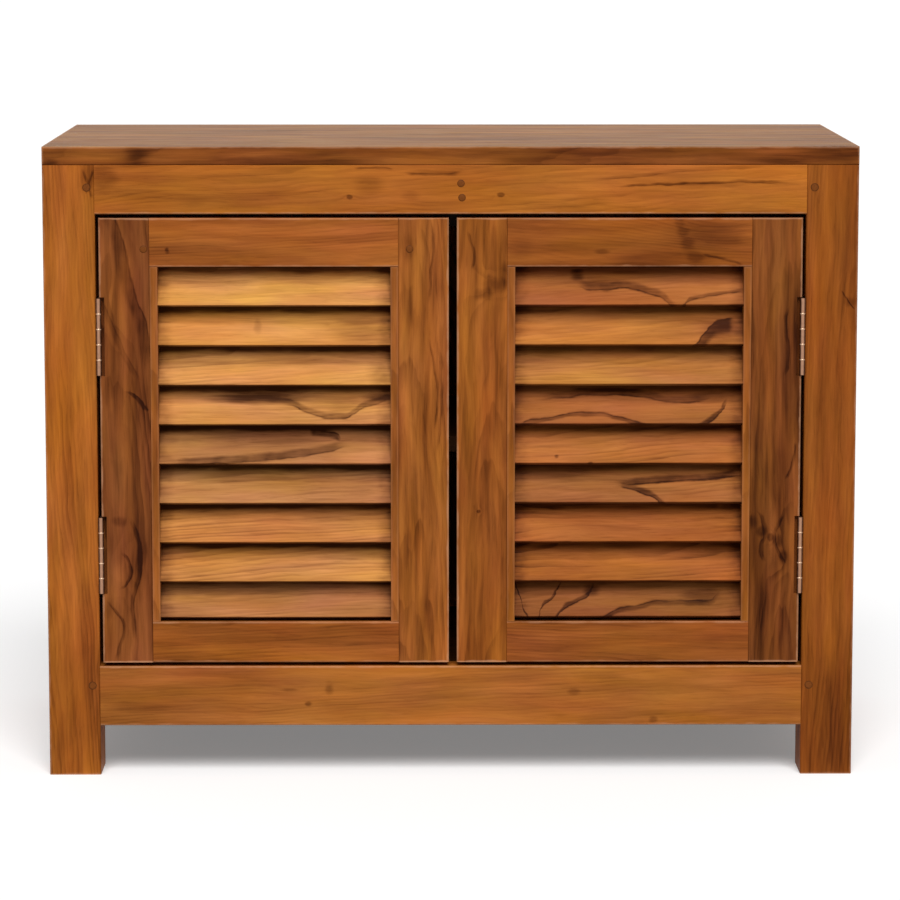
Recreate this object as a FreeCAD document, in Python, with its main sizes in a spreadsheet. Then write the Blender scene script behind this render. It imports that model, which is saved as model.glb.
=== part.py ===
"""A louvred door cabinet: a pegged hardwood frame with two doors of fixed louvres.

Millimetres, +Z up, the doors towards -Y.  The origin is under the middle of the
cabinet, on the floor.  Every size stands once in the sheet "Sizes".  A piece is
modelled in its own frame and put in its place by expressions of those sizes.
"""

import FreeCAD, Part
import os
import re

import Sketcher

Vector = FreeCAD.Vector
document = FreeCAD.newDocument("louvred_door_cabinet")


# ---------------------------------------------------------------------------
# Driving sizes: alias, value, meaning
# ---------------------------------------------------------------------------

SIZES = [
    ("overall_width", "800", "over the legs, and the length of the top"),
    ("case_depth", "370", "over the legs, and the depth of the top"),
    ("overall_height", "627", "floor to the top's upper face"),
    ("top_thickness", "18", "solid top board"),
    ("leg_width", "51", "square legs"),
    ("floor_clearance", "50", "floor to the bottom rails"),
    ("bottom_rail_height", "60", "bottom rails of the frame"),
    ("top_rail_height", "48", "top rails of the frame"),
    ("rail_thickness", "25", "all eight rails, flush with the legs' outer faces"),
    ("arris_radius", "1.5", "rounding of the top's long edges"),
    ("edge_chamfer", "1", "easing of the long edges of legs, rails and door frames"),
    ("tenon_thickness", "8", "tenons of the case and the doors"),
    ("tenon_length", "25", "tenons of the case rails"),
    ("tenon_shoulder", "2", "panel groove to a case tenon, above and below it"),
    ("joint_clearance", "0.1", "glue room round tenons, panels and housings"),
    ("peg_diameter", "8", "pegs that lock the front rails' tenons"),
    ("peg_clearance", "0.05", "glue room round a peg, on the radius"),
    ("peg_inset", "7.5", "shoulder line to the middle of a peg"),
    ("top_peg_rise", "26", "lower edge of the front top rail to its pegs"),
    ("bottom_peg_rise", "40.5", "lower edge of the front bottom rail to its pegs"),
    ("panel_thickness", "8", "side panels and back panel"),
    ("panel_lap", "8", "depth that a panel enters its grooves"),
    ("floor_thickness", "10", "bottom panel"),
    ("floor_drop", "6", "bottom rails' upper edge to the bottom panel"),
    ("floor_lap", "6", "depth that the bottom panel enters its grooves"),
    ("shelf_height", "335", "floor to the shelf's upper face"),
    ("shelf_thickness", "15", "shelf board"),
    ("shelf_room", "15", "clear room behind the doors, before the shelf"),
    ("shelf_rail_height", "30", "rails that carry the shelf"),
    ("shelf_rail_thickness", "22", "rails that carry the shelf"),
    ("stub_length", "10", "stub tenons of the shelf rails"),
    ("stub_shoulder", "6", "shoulder above and below a stub tenon"),
    ("stop_width", "56", "block behind the top rail that the doors close on"),
    ("stop_thickness", "18", "door stop block"),
    ("stop_reach", "14", "length of the stop block below the top rail"),
    ("stop_offset", "10", "middle of the cabinet to the middle of the stop block"),
    ("door_thickness", "24.5", "stiles and rails of the doors"),
    ("door_gap", "4", "gap above and below the doors"),
    ("hinge_gap", "3.5", "gap between a leg and its door"),
    ("meeting_gap", "8", "gap between the two doors"),
    ("meeting_offset", "2", "middle of the cabinet to the middle of that gap"),
    ("stile_width", "49.75", "upright members of the doors"),
    ("door_top_rail_height", "48", "top rails of the doors"),
    ("door_bottom_rail_height", "41", "bottom rails of the doors"),
    ("door_tenon_length", "30", "tenons of the door rails"),
    ("door_tenon_shoulder", "6", "shoulder above and below a door tenon"),
    ("strip_width", "7.5", "upright strips that hold the slats"),
    ("strip_setback", "0.3", "door face to the strips' face, front and back"),
    ("slat_width", "41", "slat, measured along its slope"),
    ("slat_thickness", "6", "slat"),
    ("slat_round", "1", "rounding of a slat's lower front and upper back edges"),
    ("slat_chamfer", "1.5", "easing of a slat's other two edges"),
    ("slat_tilt", "25.5", "degrees that a slat leans back from upright"),
    ("first_slat_drop", "38", "louvre opening's upper edge to the first slat's lower edge"),
    ("last_slat_rise", "4.6", "louvre opening's lower edge to the last slat's lower edge"),
    ("last_slat_step", "36", "spacing of the last two slats; the others share the rest"),
    ("housing_depth", "4", "depth that a slat's end enters its housing"),
    ("hinge_length", "76", "butt hinge"),
    ("hinge_proud", "1", "door face to the hinge pin's axis, forwards"),
    ("pin_offset", "2.9", "leg to the hinge pin's axis, sideways"),
    ("barrel_diameter", "5", "rolled knuckles of the hinge"),
    ("pin_diameter", "2.2", "hinge pin"),
    ("pin_clearance", "0.05", "room round the pin, on the radius"),
    ("knuckle_gap", "0.3", "gap between two knuckles"),
    ("leaf_thickness", "1.3", "hinge leaf"),
    ("leaf_width", "20", "hinge leaf, from the barrel to its back edge"),
    ("leaf_room", "0.3", "barrel to the leaf's front edge"),
    ("upper_hinge_drop", "79", "door's upper edge to the upper hinge"),
    ("lower_hinge_rise", "70", "door's lower edge to the lower hinge"),
    ("notch_width", "5", "notch in the door stile beside a barrel"),
    ("notch_depth", "5.5", "that notch, from the door's face"),
    ("notch_room", "1", "that notch, beyond each end of the hinge"),
]

KNUCKLES = 5
SLATS = 9

sheet = document.addObject("Spreadsheet::Sheet", "Sizes")
for row, (alias, amount, meaning) in enumerate(SIZES, start=1):
    sheet.set(f"A{row}", meaning)
    sheet.set(f"B{row}", amount)
    sheet.setAlias(f"B{row}", alias)
document.recompute()

ALIASES = {alias for alias, amount, meaning in SIZES}


def formula(text):
    """Write a sum of sizes as an expression that reads each of them from the sheet."""
    return re.sub(
        r"[a-z_]+",
        lambda word: f"Sizes.{word[0]}" if word[0] in ALIASES else word[0],
        str(text),
    )


def value(text):
    """Work out a sum of sizes."""
    return float(sheet.evalExpression(formula(text)))


# Places that several pieces share, as sums of the sizes above.
FRONT = "(hinge_proud + barrel_diameter / 2 - case_depth) / 2"
BACK = f"({FRONT} + case_depth)"
OPENING = "(overall_width - 2 * leg_width)"
SIDE_RUN = "(case_depth - 2 * leg_width)"
LEG_HEIGHT = "(overall_height - top_thickness)"
TOP_RAIL_LOW = f"({LEG_HEIGHT} - top_rail_height)"
BOTTOM_RAIL_HIGH = "(floor_clearance + bottom_rail_height)"
TENON_SETBACK = "((rail_thickness - tenon_thickness) / 2)"
TENON_LOW = "(panel_lap + tenon_shoulder)"
PEG_LENGTH = f"({TENON_SETBACK} + tenon_thickness)"
PEG_HEIGHTS = (f"({TOP_RAIL_LOW} + top_peg_rise)", "(floor_clearance + bottom_peg_rise)")
PANEL_SETBACK = "((rail_thickness - panel_thickness) / 2)"
PANEL_LOW = f"({BOTTOM_RAIL_HIGH} - panel_lap)"
PANEL_HEIGHT = f"({TOP_RAIL_LOW} - {BOTTOM_RAIL_HIGH} + 2 * panel_lap)"
FLOOR_LOW = f"({BOTTOM_RAIL_HIGH} - floor_drop - floor_thickness)"
SHELF_RAIL_LOW = "(shelf_height - shelf_thickness - shelf_rail_height)"
SHELF_RAIL_SETBACK = "(leg_width - shelf_rail_thickness)"
STUB_SETBACK = f"({SHELF_RAIL_SETBACK} + (shelf_rail_thickness - tenon_thickness) / 2)"

DOOR_LOW = f"({BOTTOM_RAIL_HIGH} + door_gap)"
DOOR_HEIGHT = f"({TOP_RAIL_LOW} - door_gap - {DOOR_LOW})"
DOOR_TENON_SETBACK = "((door_thickness - tenon_thickness) / 2)"
LOUVRE_HEIGHT = f"({DOOR_HEIGHT} - door_top_rail_height - door_bottom_rail_height)"
SLAT_DEPTH = "(slat_width * sin(slat_tilt) + slat_thickness * cos(slat_tilt))"
UPPER_HINGE = f"({DOOR_HEIGHT} - upper_hinge_drop - hinge_length)"
LOWER_HINGE = "lower_hinge_rise"
HINGES = {"upper": UPPER_HINGE, "lower": LOWER_HINGE}
PIN_X = f"(pin_offset - {OPENING} / 2)"
PIN_Y = f"({FRONT} - hinge_proud)"
LEAF_FRONT = "(barrel_diameter / 2 + leaf_room)"

# The left edge of each door, and its width.
DOOR_LEFTS = {
    "left": f"(hinge_gap - {OPENING} / 2)",
    "right": "(meeting_offset + meeting_gap / 2)",
}
DOOR_WIDTHS = {
    "left": f"({OPENING} / 2 + meeting_offset - meeting_gap / 2 - hinge_gap)",
    "right": f"({OPENING} / 2 - meeting_offset - meeting_gap / 2 - hinge_gap)",
}


# ---------------------------------------------------------------------------
# Ways of making a piece
# ---------------------------------------------------------------------------

sub_parts = []


def bind(thing, **formulas):
    """Tie properties of an object to sums of sizes."""
    for name, text in formulas.items():
        thing.setExpression(name, formula(text))


def place(thing, x, y, z, turn=0):
    """Put an object at x, y, z, turned about Z by a number of degrees."""
    thing.Placement = FreeCAD.Placement(Vector(), FreeCAD.Rotation(Vector(0, 0, 1), turn))
    for axis, text in zip("xyz", (x, y, z)):
        thing.setExpression(f"Placement.Base.{axis}", formula(text))


def keep(thing, label):
    """Name an object as one sub-part of the cabinet."""
    thing.Label = label
    sub_parts.append(thing)
    return thing


def new_body(name):
    return document.addObject("PartDesign::Body", name)


def new_sketch(body, plane, offset):
    """Open a sketch on an origin plane of its own body, an offset along the plane's normal."""
    sketch = body.newObject("Sketcher::SketchObject", f"{body.Name}_sketch")
    support = [feature for feature in body.Origin.OriginFeatures if feature.Role == plane]
    sketch.AttachmentSupport = [(support[0], "")]
    sketch.MapMode = "FlatFace"
    sketch.setExpression(".AttachmentOffset.Base.z", formula(offset))
    return sketch


def dimension(sketch, kind, points, text):
    """Add one dimension to a sketch and tie it to a sum of sizes."""
    index = sketch.addConstraint(Sketcher.Constraint(kind, *points, value(text)))
    sketch.setExpression(f"Constraints[{index}]", formula(text))


def draw_loop(sketch, corners):
    """Draw straight lines from corner to corner and back to the first; return their number."""
    first = sketch.GeometryCount
    points = [Vector(value(x), value(y), 0) for x, y in corners]
    for start, end in zip(points, points[1:] + points[:1]):
        sketch.addGeometry(Part.LineSegment(start, end), False)
    for line in range(len(points)):
        following = first + (line + 1) % len(points)
        sketch.addConstraint(Sketcher.Constraint("Coincident", first + line, 2, following, 1))
    return first


def draw_rectangle(sketch, left, low, width, height):
    """Draw an upright rectangle from its lower left corner and its two sides."""
    right = f"{left} + {width}"
    high = f"{low} + {height}"
    first = draw_loop(sketch, [(left, low), (right, low), (right, high), (left, high)])
    for line, direction in enumerate(("Horizontal", "Vertical", "Horizontal", "Vertical")):
        sketch.addConstraint(Sketcher.Constraint(direction, first + line))
    dimension(sketch, "DistanceX", (-1, 1, first, 1), left)
    dimension(sketch, "DistanceY", (-1, 1, first, 1), low)
    dimension(sketch, "DistanceX", (first, 1, first, 2), width)
    dimension(sketch, "DistanceY", (first + 1, 1, first + 1, 2), height)


def draw_leaning_rectangle(sketch, left, low, width, height, lean):
    """Draw a rectangle that leans by an angle about its lower left corner, tops to the right."""
    across = (f"{width} * cos({lean})", f"{width} * sin({lean})")
    along = (f"{height} * sin({lean})", f"{height} * cos({lean})")
    corners = [
        (left, low),
        (f"{left} + {across[0]}", f"{low} - {across[1]}"),
        (f"{left} + {across[0]} + {along[0]}", f"{low} - {across[1]} + {along[1]}"),
        (f"{left} + {along[0]}", f"{low} + {along[1]}"),
    ]
    first = draw_loop(sketch, corners)
    for line, (x, y) in enumerate(corners, start=first):
        dimension(sketch, "DistanceX", (-1, 1, line, 1), x)
        dimension(sketch, "DistanceY", (-1, 1, line, 1), y)


def draw_circle(sketch, x, y, diameter):
    """Draw a circle from its middle and its diameter."""
    middle = Vector(value(x), value(y), 0)
    circle = sketch.addGeometry(Part.Circle(middle, Vector(0, 0, 1), value(diameter) / 2), False)
    dimension(sketch, "DistanceX", (-1, 1, circle, 3), x)
    dimension(sketch, "DistanceY", (-1, 1, circle, 3), y)
    dimension(sketch, "Diameter", (circle,), diameter)


def add_block(body, corner, extent):
    """Pad a block from its lowest corner and its three sides."""
    sketch = new_sketch(body, "XY_Plane", corner[2])
    draw_rectangle(sketch, corner[0], corner[1], extent[0], extent[1])
    pad = body.newObject("PartDesign::Pad", f"{body.Name}_block")
    pad.Profile = sketch
    bind(pad, Length=extent[2])
    return pad


def cut_block(body, corner, extent):
    """Cut a mortise, a groove or a notch: a block from its lowest corner and its three sides."""
    sketch = new_sketch(body, "XY_Plane", corner[2])
    draw_rectangle(sketch, corner[0], corner[1], extent[0], extent[1])
    pocket = body.newObject("PartDesign::Pocket", f"{body.Name}_cut")
    pocket.Profile = sketch
    pocket.Reversed = True
    bind(pocket, Length=extent[2])
    return pocket


def bore(body, middles):
    """Bore peg holes backwards from the front face, their middles given across and up it."""
    sketch = new_sketch(body, "XZ_Plane", "0")
    for across, height in middles:
        draw_circle(sketch, across, height, "peg_diameter + 2 * peg_clearance")
    holes = body.newObject("PartDesign::Pocket", f"{body.Name}_peg_holes")
    holes.Profile = sketch
    bind(holes, Length=PEG_LENGTH)
    return holes


def edges_along(feature, direction, wanted=None):
    """Name the straight edges of a feature along X or Z, or those of them that are wanted."""
    document.recompute()
    along = {"X": Vector(1, 0, 0), "Z": Vector(0, 0, 1)}[direction]
    names = []
    for number, edge in enumerate(feature.Shape.Edges, start=1):
        start, end = edge.Vertexes[0].Point, edge.Vertexes[-1].Point
        if end.isEqual(start, 1e-6) or abs((end - start).normalize() * along) < 0.999:
            continue
        if wanted is None or wanted(start):
            names.append(f"Edge{number}")
    return names


def round_edges(body, feature, names, radius):
    """Round edges of a block."""
    fillet = body.newObject("PartDesign::Fillet", f"{body.Name}_rounding")
    fillet.Base = (feature, names)
    bind(fillet, Radius=radius)
    return fillet


def ease_edges(body, feature, names, width):
    """Plane narrow flats on edges of a block."""
    chamfer = body.newObject("PartDesign::Chamfer", f"{body.Name}_easing")
    chamfer.Base = (feature, names)
    bind(chamfer, Size=width)
    return chamfer


def mirror(source, name, plane_x=None):
    """Make the mirror image of a piece across the upright plane at x, or at the middle."""
    image = document.addObject("Part::Mirroring", name)
    image.Source = source
    image.Normal = Vector(1, 0, 0)
    if plane_x:
        image.setExpression("Base.x", formula(plane_x))
    return image


def group(name, pieces):
    """Hold like pieces of hardware together as separate solids of one sub-part."""
    together = document.addObject("Part::Compound", name)
    together.Links = pieces
    return keep(together, name)


# ---------------------------------------------------------------------------
# Top board: solid, flush with the legs, its long arrises rounded
# ---------------------------------------------------------------------------

top = new_body("top_panel")
board = add_block(top, ("0", "0", "0"), ("overall_width", "case_depth", "top_thickness"))
round_edges(top, board, edges_along(board, "X"), "arris_radius")
place(top, "-overall_width / 2", FRONT, LEG_HEIGHT)
keep(top, "top_panel")


# ---------------------------------------------------------------------------
# Legs: x and y run inwards from the leg's outer corner
# ---------------------------------------------------------------------------


def cut_rail_mortises(leg, low, rail_height):
    """Mortise a leg for the two rails that meet in it at one height."""
    reach = "tenon_length + joint_clearance"
    width = "tenon_thickness + 2 * joint_clearance"
    height = f"{rail_height} - 2 * {TENON_LOW} + 2 * joint_clearance"
    foot = f"{low} + {TENON_LOW} - joint_clearance"
    inner = "leg_width - tenon_length - joint_clearance"
    side = f"{TENON_SETBACK} - joint_clearance"
    cut_block(leg, (inner, side, foot), (reach, width, height))
    cut_block(leg, (side, inner, foot), (width, reach, height))


def cut_panel_groove(leg, towards_side):
    """Groove a leg for the side panel, or for the back panel."""
    setback = f"{PANEL_SETBACK} - joint_clearance"
    width = "panel_thickness + 2 * joint_clearance"
    edge = "leg_width - panel_lap"
    if towards_side:
        cut_block(leg, (setback, edge, PANEL_LOW), (width, "panel_lap", PANEL_HEIGHT))
    else:
        cut_block(leg, (edge, setback, PANEL_LOW), ("panel_lap", width, PANEL_HEIGHT))


def cut_shelf_mortise(leg):
    """Mortise a leg for the stub tenon of its shelf rail."""
    cut_block(
        leg,
        (
            f"{STUB_SETBACK} - joint_clearance",
            "leg_width - stub_length - joint_clearance",
            f"{SHELF_RAIL_LOW} + stub_shoulder - joint_clearance",
        ),
        (
            "tenon_thickness + 2 * joint_clearance",
            "stub_length + joint_clearance",
            "shelf_rail_height - 2 * stub_shoulder + 2 * joint_clearance",
        ),
    )


def make_leg(name, rear):
    """Make a leg with its mortises and grooves, and its two peg holes in front."""
    leg = new_body(name)
    post = add_block(leg, ("0", "0", "0"), ("leg_width", "leg_width", LEG_HEIGHT))
    ease_edges(leg, post, edges_along(post, "Z"), "edge_chamfer")
    cut_rail_mortises(leg, TOP_RAIL_LOW, "top_rail_height")
    cut_rail_mortises(leg, "floor_clearance", "bottom_rail_height")
    cut_panel_groove(leg, towards_side=True)
    cut_shelf_mortise(leg)
    if rear:
        cut_panel_groove(leg, towards_side=False)
    else:
        bore(leg, [("leg_width - peg_inset", height) for height in PEG_HEIGHTS])
    return leg


front_left_leg = keep(make_leg("front_left_leg", rear=False), "front_left_leg")
place(front_left_leg, "-overall_width / 2", FRONT, "0")
keep(mirror(front_left_leg, "front_right_leg"), "front_right_leg")

rear_right_leg = keep(make_leg("rear_right_leg", rear=True), "rear_right_leg")
place(rear_right_leg, "overall_width / 2", BACK, "0", turn=180)
keep(mirror(rear_right_leg, "rear_left_leg"), "rear_left_leg")


# ---------------------------------------------------------------------------
# Rails: x runs along the rail, y inwards from its outer face
# ---------------------------------------------------------------------------

# For each side of the case: the run between its legs, where its rails start and turn.
SIDES = {
    "front": (OPENING, f"-{OPENING} / 2", FRONT, 0),
    "rear": (OPENING, f"{OPENING} / 2", BACK, 180),
    "left_side": (SIDE_RUN, "-overall_width / 2", f"{BACK} - leg_width", -90),
    "right_side": (SIDE_RUN, "overall_width / 2", f"{FRONT} + leg_width", 90),
}


def make_rail(name, run, rail_height):
    """Make a rail with a tenon on each end."""
    rail = new_body(name)
    board = add_block(rail, ("0", "0", "0"), (run, "rail_thickness", rail_height))
    ease_edges(rail, board, edges_along(board, "X"), "edge_chamfer")
    add_block(
        rail,
        ("-tenon_length", TENON_SETBACK, TENON_LOW),
        (f"{run} + 2 * tenon_length", "tenon_thickness", f"{rail_height} - 2 * {TENON_LOW}"),
    )
    return rail


def groove_for_panel(rail, run, low):
    """Groove an edge of a rail for the panel that stands in it."""
    cut_block(
        rail,
        ("0", f"{PANEL_SETBACK} - joint_clearance", low),
        (run, "panel_thickness + 2 * joint_clearance", "panel_lap"),
    )


def groove_for_floor(rail, run):
    """Groove the inner face of a bottom rail for the bottom panel."""
    cut_block(
        rail,
        ("0", "rail_thickness - floor_lap", f"{FLOOR_LOW} - floor_clearance"),
        (run, "floor_lap", "floor_thickness + joint_clearance"),
    )


def bore_front_tenons(rail, run, peg_level):
    """Bore both tenons of a front rail for the pegs that lock them."""
    bore(rail, [("-peg_inset", peg_level), (f"{run} + peg_inset", peg_level)])


for side, (run, start_x, start_y, turn) in SIDES.items():
    top_rail = make_rail(f"{side}_top_rail", run, "top_rail_height")
    bottom_rail = make_rail(f"{side}_bottom_rail", run, "bottom_rail_height")
    groove_for_floor(bottom_rail, run)
    if side == "front":
        bore_front_tenons(top_rail, run, "top_peg_rise")
        bore_front_tenons(bottom_rail, run, "bottom_peg_rise")
    else:
        groove_for_panel(top_rail, run, "0")
        groove_for_panel(bottom_rail, run, "bottom_rail_height - panel_lap")
    place(top_rail, start_x, start_y, TOP_RAIL_LOW, turn)
    place(bottom_rail, start_x, start_y, "floor_clearance", turn)
    keep(top_rail, f"{side}_top_rail")
    keep(bottom_rail, f"{side}_bottom_rail")


# ---------------------------------------------------------------------------
# Side and back panels: thin boards that stand loose in the grooves
# ---------------------------------------------------------------------------


def make_panel(name, side):
    """Make the panel of one side of the case."""
    run, start_x, start_y, turn = SIDES[side]
    panel = new_body(name)
    add_block(
        panel,
        ("joint_clearance - panel_lap", PANEL_SETBACK, "0"),
        (
            f"{run} + 2 * panel_lap - 2 * joint_clearance",
            "panel_thickness",
            f"{PANEL_HEIGHT} - joint_clearance",
        ),
    )
    place(panel, start_x, start_y, PANEL_LOW, turn)
    return keep(panel, name)


make_panel("left_side_panel", "left_side")
make_panel("right_side_panel", "right_side")
make_panel("back_panel", "rear")


# ---------------------------------------------------------------------------
# Bottom panel and shelf: boards notched round the four legs
# ---------------------------------------------------------------------------


def make_notched_board(name, side_edge, front_edge, back_edge, thickness):
    """Make a board from its distances inside the case's outer faces, notched at each leg."""
    width = f"overall_width - 2 * {side_edge}"
    depth = f"case_depth - {front_edge} - {back_edge}"
    notch = f"leg_width - {side_edge} + joint_clearance"
    front_notch = f"leg_width - {front_edge} + joint_clearance"
    back_notch = f"leg_width - {back_edge} + joint_clearance"
    plate = new_body(name)
    add_block(plate, ("0", "0", "0"), (width, depth, thickness))
    for x in ("0", f"{width} - ({notch})"):
        cut_block(plate, (x, "0", "0"), (notch, front_notch, thickness))
        cut_block(plate, (x, f"{depth} - ({back_notch})", "0"), (notch, back_notch, thickness))
    return plate


floor_edge = "(rail_thickness - floor_lap + joint_clearance)"
bottom_panel = make_notched_board(
    "bottom_panel", floor_edge, floor_edge, floor_edge, "floor_thickness"
)
place(
    bottom_panel, f"{floor_edge} - overall_width / 2", f"{FRONT} + {floor_edge}", FLOOR_LOW
)
keep(bottom_panel, "bottom_panel")

shelf_edge = f"({PANEL_SETBACK} + panel_thickness + joint_clearance)"
shelf_front = "(door_thickness + shelf_room)"
shelf = make_notched_board("shelf", shelf_edge, shelf_front, shelf_edge, "shelf_thickness")
place(
    shelf,
    f"{shelf_edge} - overall_width / 2",
    f"{FRONT} + {shelf_front}",
    "shelf_height - shelf_thickness",
)
keep(shelf, "shelf")

# The shelf lies on two rails, stub-tenoned between the front and rear legs.
left_shelf_rail = new_body("left_shelf_rail")
add_block(
    left_shelf_rail,
    (SHELF_RAIL_SETBACK, "0", "0"),
    ("shelf_rail_thickness", SIDE_RUN, "shelf_rail_height"),
)
add_block(
    left_shelf_rail,
    (STUB_SETBACK, "-stub_length", "stub_shoulder"),
    ("tenon_thickness", f"{SIDE_RUN} + 2 * stub_length", "shelf_rail_height - 2 * stub_shoulder"),
)
place(left_shelf_rail, "-overall_width / 2", f"{FRONT} + leg_width", SHELF_RAIL_LOW)
keep(left_shelf_rail, "left_shelf_rail")
keep(mirror(left_shelf_rail, "right_shelf_rail"), "right_shelf_rail")


# ---------------------------------------------------------------------------
# Door stop: a block on the back of the front top rail, which both doors close on
# ---------------------------------------------------------------------------

door_stop = new_body("door_stop")
add_block(
    door_stop, ("0", "0", "0"), ("stop_width", "stop_thickness", "top_rail_height + stop_reach")
)
place(
    door_stop,
    "stop_offset - stop_width / 2",
    f"{FRONT} + rail_thickness",
    f"{TOP_RAIL_LOW} - stop_reach",
)
keep(door_stop, "door_stop")


# ---------------------------------------------------------------------------
# Pegs: round pins through the front legs and the rails' tenons, cut flush
# ---------------------------------------------------------------------------


def make_peg(x, z):
    """Make a peg that runs backwards from the case's front face."""
    peg = document.addObject("Part::Cylinder", "peg")
    place(peg, x, FRONT, z)
    peg.Placement.Rotation = FreeCAD.Rotation(Vector(1, 0, 0), -90)
    bind(peg, Radius="peg_diameter / 2", Height=PEG_LENGTH)
    return peg


PEG_LINE = f"({OPENING} / 2 + peg_inset)"
group("case_pegs", [make_peg(x, z) for x in (f"-{PEG_LINE}", PEG_LINE) for z in PEG_HEIGHTS])


# ---------------------------------------------------------------------------
# Door frames: the door's own corner is its lower hinge-side corner, x across it
# ---------------------------------------------------------------------------

# For each rail of a door: its height, and its lower edge above the door's own.
DOOR_RAILS = {
    "top": ("door_top_rail_height", f"({DOOR_HEIGHT} - door_top_rail_height)"),
    "bottom": ("door_bottom_rail_height", "0"),
}


def make_stile(name, hinged):
    """Make a stile with its mortises towards +X, notched for the barrels if it is hinged."""
    stile = new_body(name)
    post = add_block(stile, ("0", "0", "0"), ("stile_width", "door_thickness", DOOR_HEIGHT))
    ease_edges(stile, post, edges_along(post, "Z"), "edge_chamfer")
    for rail_height, low in DOOR_RAILS.values():
        cut_block(
            stile,
            (
                "stile_width - door_tenon_length - joint_clearance",
                f"{DOOR_TENON_SETBACK} - joint_clearance",
                f"{low} + door_tenon_shoulder - joint_clearance",
            ),
            (
                "door_tenon_length + joint_clearance",
                "tenon_thickness + 2 * joint_clearance",
                f"{rail_height} - 2 * door_tenon_shoulder + 2 * joint_clearance",
            ),
        )
    if hinged:
        for low in HINGES.values():
            cut_block(
                stile,
                ("0", "0", f"{low} - notch_room"),
                ("notch_width", "notch_depth", "hinge_length + 2 * notch_room"),
            )
    return stile


def make_door_rail(name, run, rail_height):
    """Make a door rail with a tenon on each end."""
    rail = new_body(name)
    board = add_block(rail, ("0", "0", "0"), (run, "door_thickness", rail_height))
    ease_edges(rail, board, edges_along(board, "X"), "edge_chamfer")
    add_block(
        rail,
        ("-door_tenon_length", DOOR_TENON_SETBACK, "door_tenon_shoulder"),
        (
            f"{run} + 2 * door_tenon_length",
            "tenon_thickness",
            f"{rail_height} - 2 * door_tenon_shoulder",
        ),
    )
    return rail


# ---------------------------------------------------------------------------
# Louvres: nine slats whose ends sit in leaning housings, cut in two upright strips
# ---------------------------------------------------------------------------

STRIP_DEPTH = "(door_thickness - 2 * strip_setback)"
SLAT_SETBACK = f"((door_thickness - {SLAT_DEPTH}) / 2)"
LAST_OF_ROW = "(last_slat_rise + last_slat_step)"
ROW_LENGTH = f"({LOUVRE_HEIGHT} - first_slat_drop - {LAST_OF_ROW})"
SLAT_PITCH = f"({ROW_LENGTH} / {SLATS - 2})"
# A housing is larger than its slat all round, so its corner lies down and forwards of the slat's.
HOUSING_FRONT = (
    f"({SLAT_SETBACK} - strip_setback"
    " - joint_clearance * (sin(slat_tilt) + cos(slat_tilt)))"
)
HOUSING_DROP = "(joint_clearance * (cos(slat_tilt) - sin(slat_tilt)))"


def cut_housing(strip, start, slat_edge):
    """Cut the leaning housing of one slat, from the height of the slat's lower front edge."""
    sketch = new_sketch(strip, "YZ_Plane", start)
    draw_leaning_rectangle(
        sketch,
        HOUSING_FRONT,
        f"{slat_edge} - {HOUSING_DROP}",
        "(slat_thickness + 2 * joint_clearance)",
        "(slat_width + 2 * joint_clearance)",
        "slat_tilt",
    )
    housing = strip.newObject("PartDesign::Pocket", f"{strip.Name}_housing")
    housing.Profile = sketch
    housing.Reversed = True
    bind(housing, Length="housing_depth")
    return housing


def make_strip(name, opens_towards_plus_x):
    """Make a strip with a row of evenly spaced housings, and one more for the last slat."""
    strip = new_body(name)
    add_block(strip, ("0", "0", "0"), ("strip_width", STRIP_DEPTH, LOUVRE_HEIGHT))
    start = "strip_width - housing_depth" if opens_towards_plus_x else "0"
    cut_housing(strip, start, "last_slat_rise")
    lowest = cut_housing(strip, start, LAST_OF_ROW)
    row = strip.newObject("PartDesign::LinearPattern", f"{name}_row")
    row.Originals = [lowest]
    row.Direction = (lowest.Profile[0], ["V_Axis"])
    row.Occurrences = SLATS - 1
    bind(row, Length=ROW_LENGTH)
    strip.Tip = row
    return strip


def make_slat(name, span):
    """Make a slat, upright in its own frame: x along it, its lower front edge at the origin."""
    slat = new_body(name)
    length = f"{span} + 2 * housing_depth - 2 * joint_clearance"
    board = add_block(slat, ("0", "0", "0"), (length, "slat_thickness", "slat_width"))
    corner = (value("slat_thickness"), value("slat_width"))

    def lower_front_or_upper_back(point):
        return (point.y < corner[0] / 2) == (point.z < corner[1] / 2)

    def sharp(point):
        """Tell the board's own corners from the edges that the rounding leaves."""
        return all(min(at, size - at) < 1e-3 for at, size in zip((point.y, point.z), corner))

    outer = edges_along(board, "X", lower_front_or_upper_back)
    rounded = round_edges(slat, board, outer, "slat_round")
    ease_edges(slat, rounded, edges_along(rounded, "X", sharp), "slat_chamfer")
    return slat


def lean_slat(slat, x, y, z):
    """Lean a slat back by the tilt and put its lower front edge at x, y, z."""
    place(slat, x, y, z)
    slat.Placement.Rotation = FreeCAD.Rotation(Vector(-1, 0, 0), value("slat_tilt"))
    slat.setExpression("Placement.Rotation.Angle", formula("slat_tilt"))


# ---------------------------------------------------------------------------
# The two doors.  The right door's handed pieces are mirror images of the left's.
# ---------------------------------------------------------------------------


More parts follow.
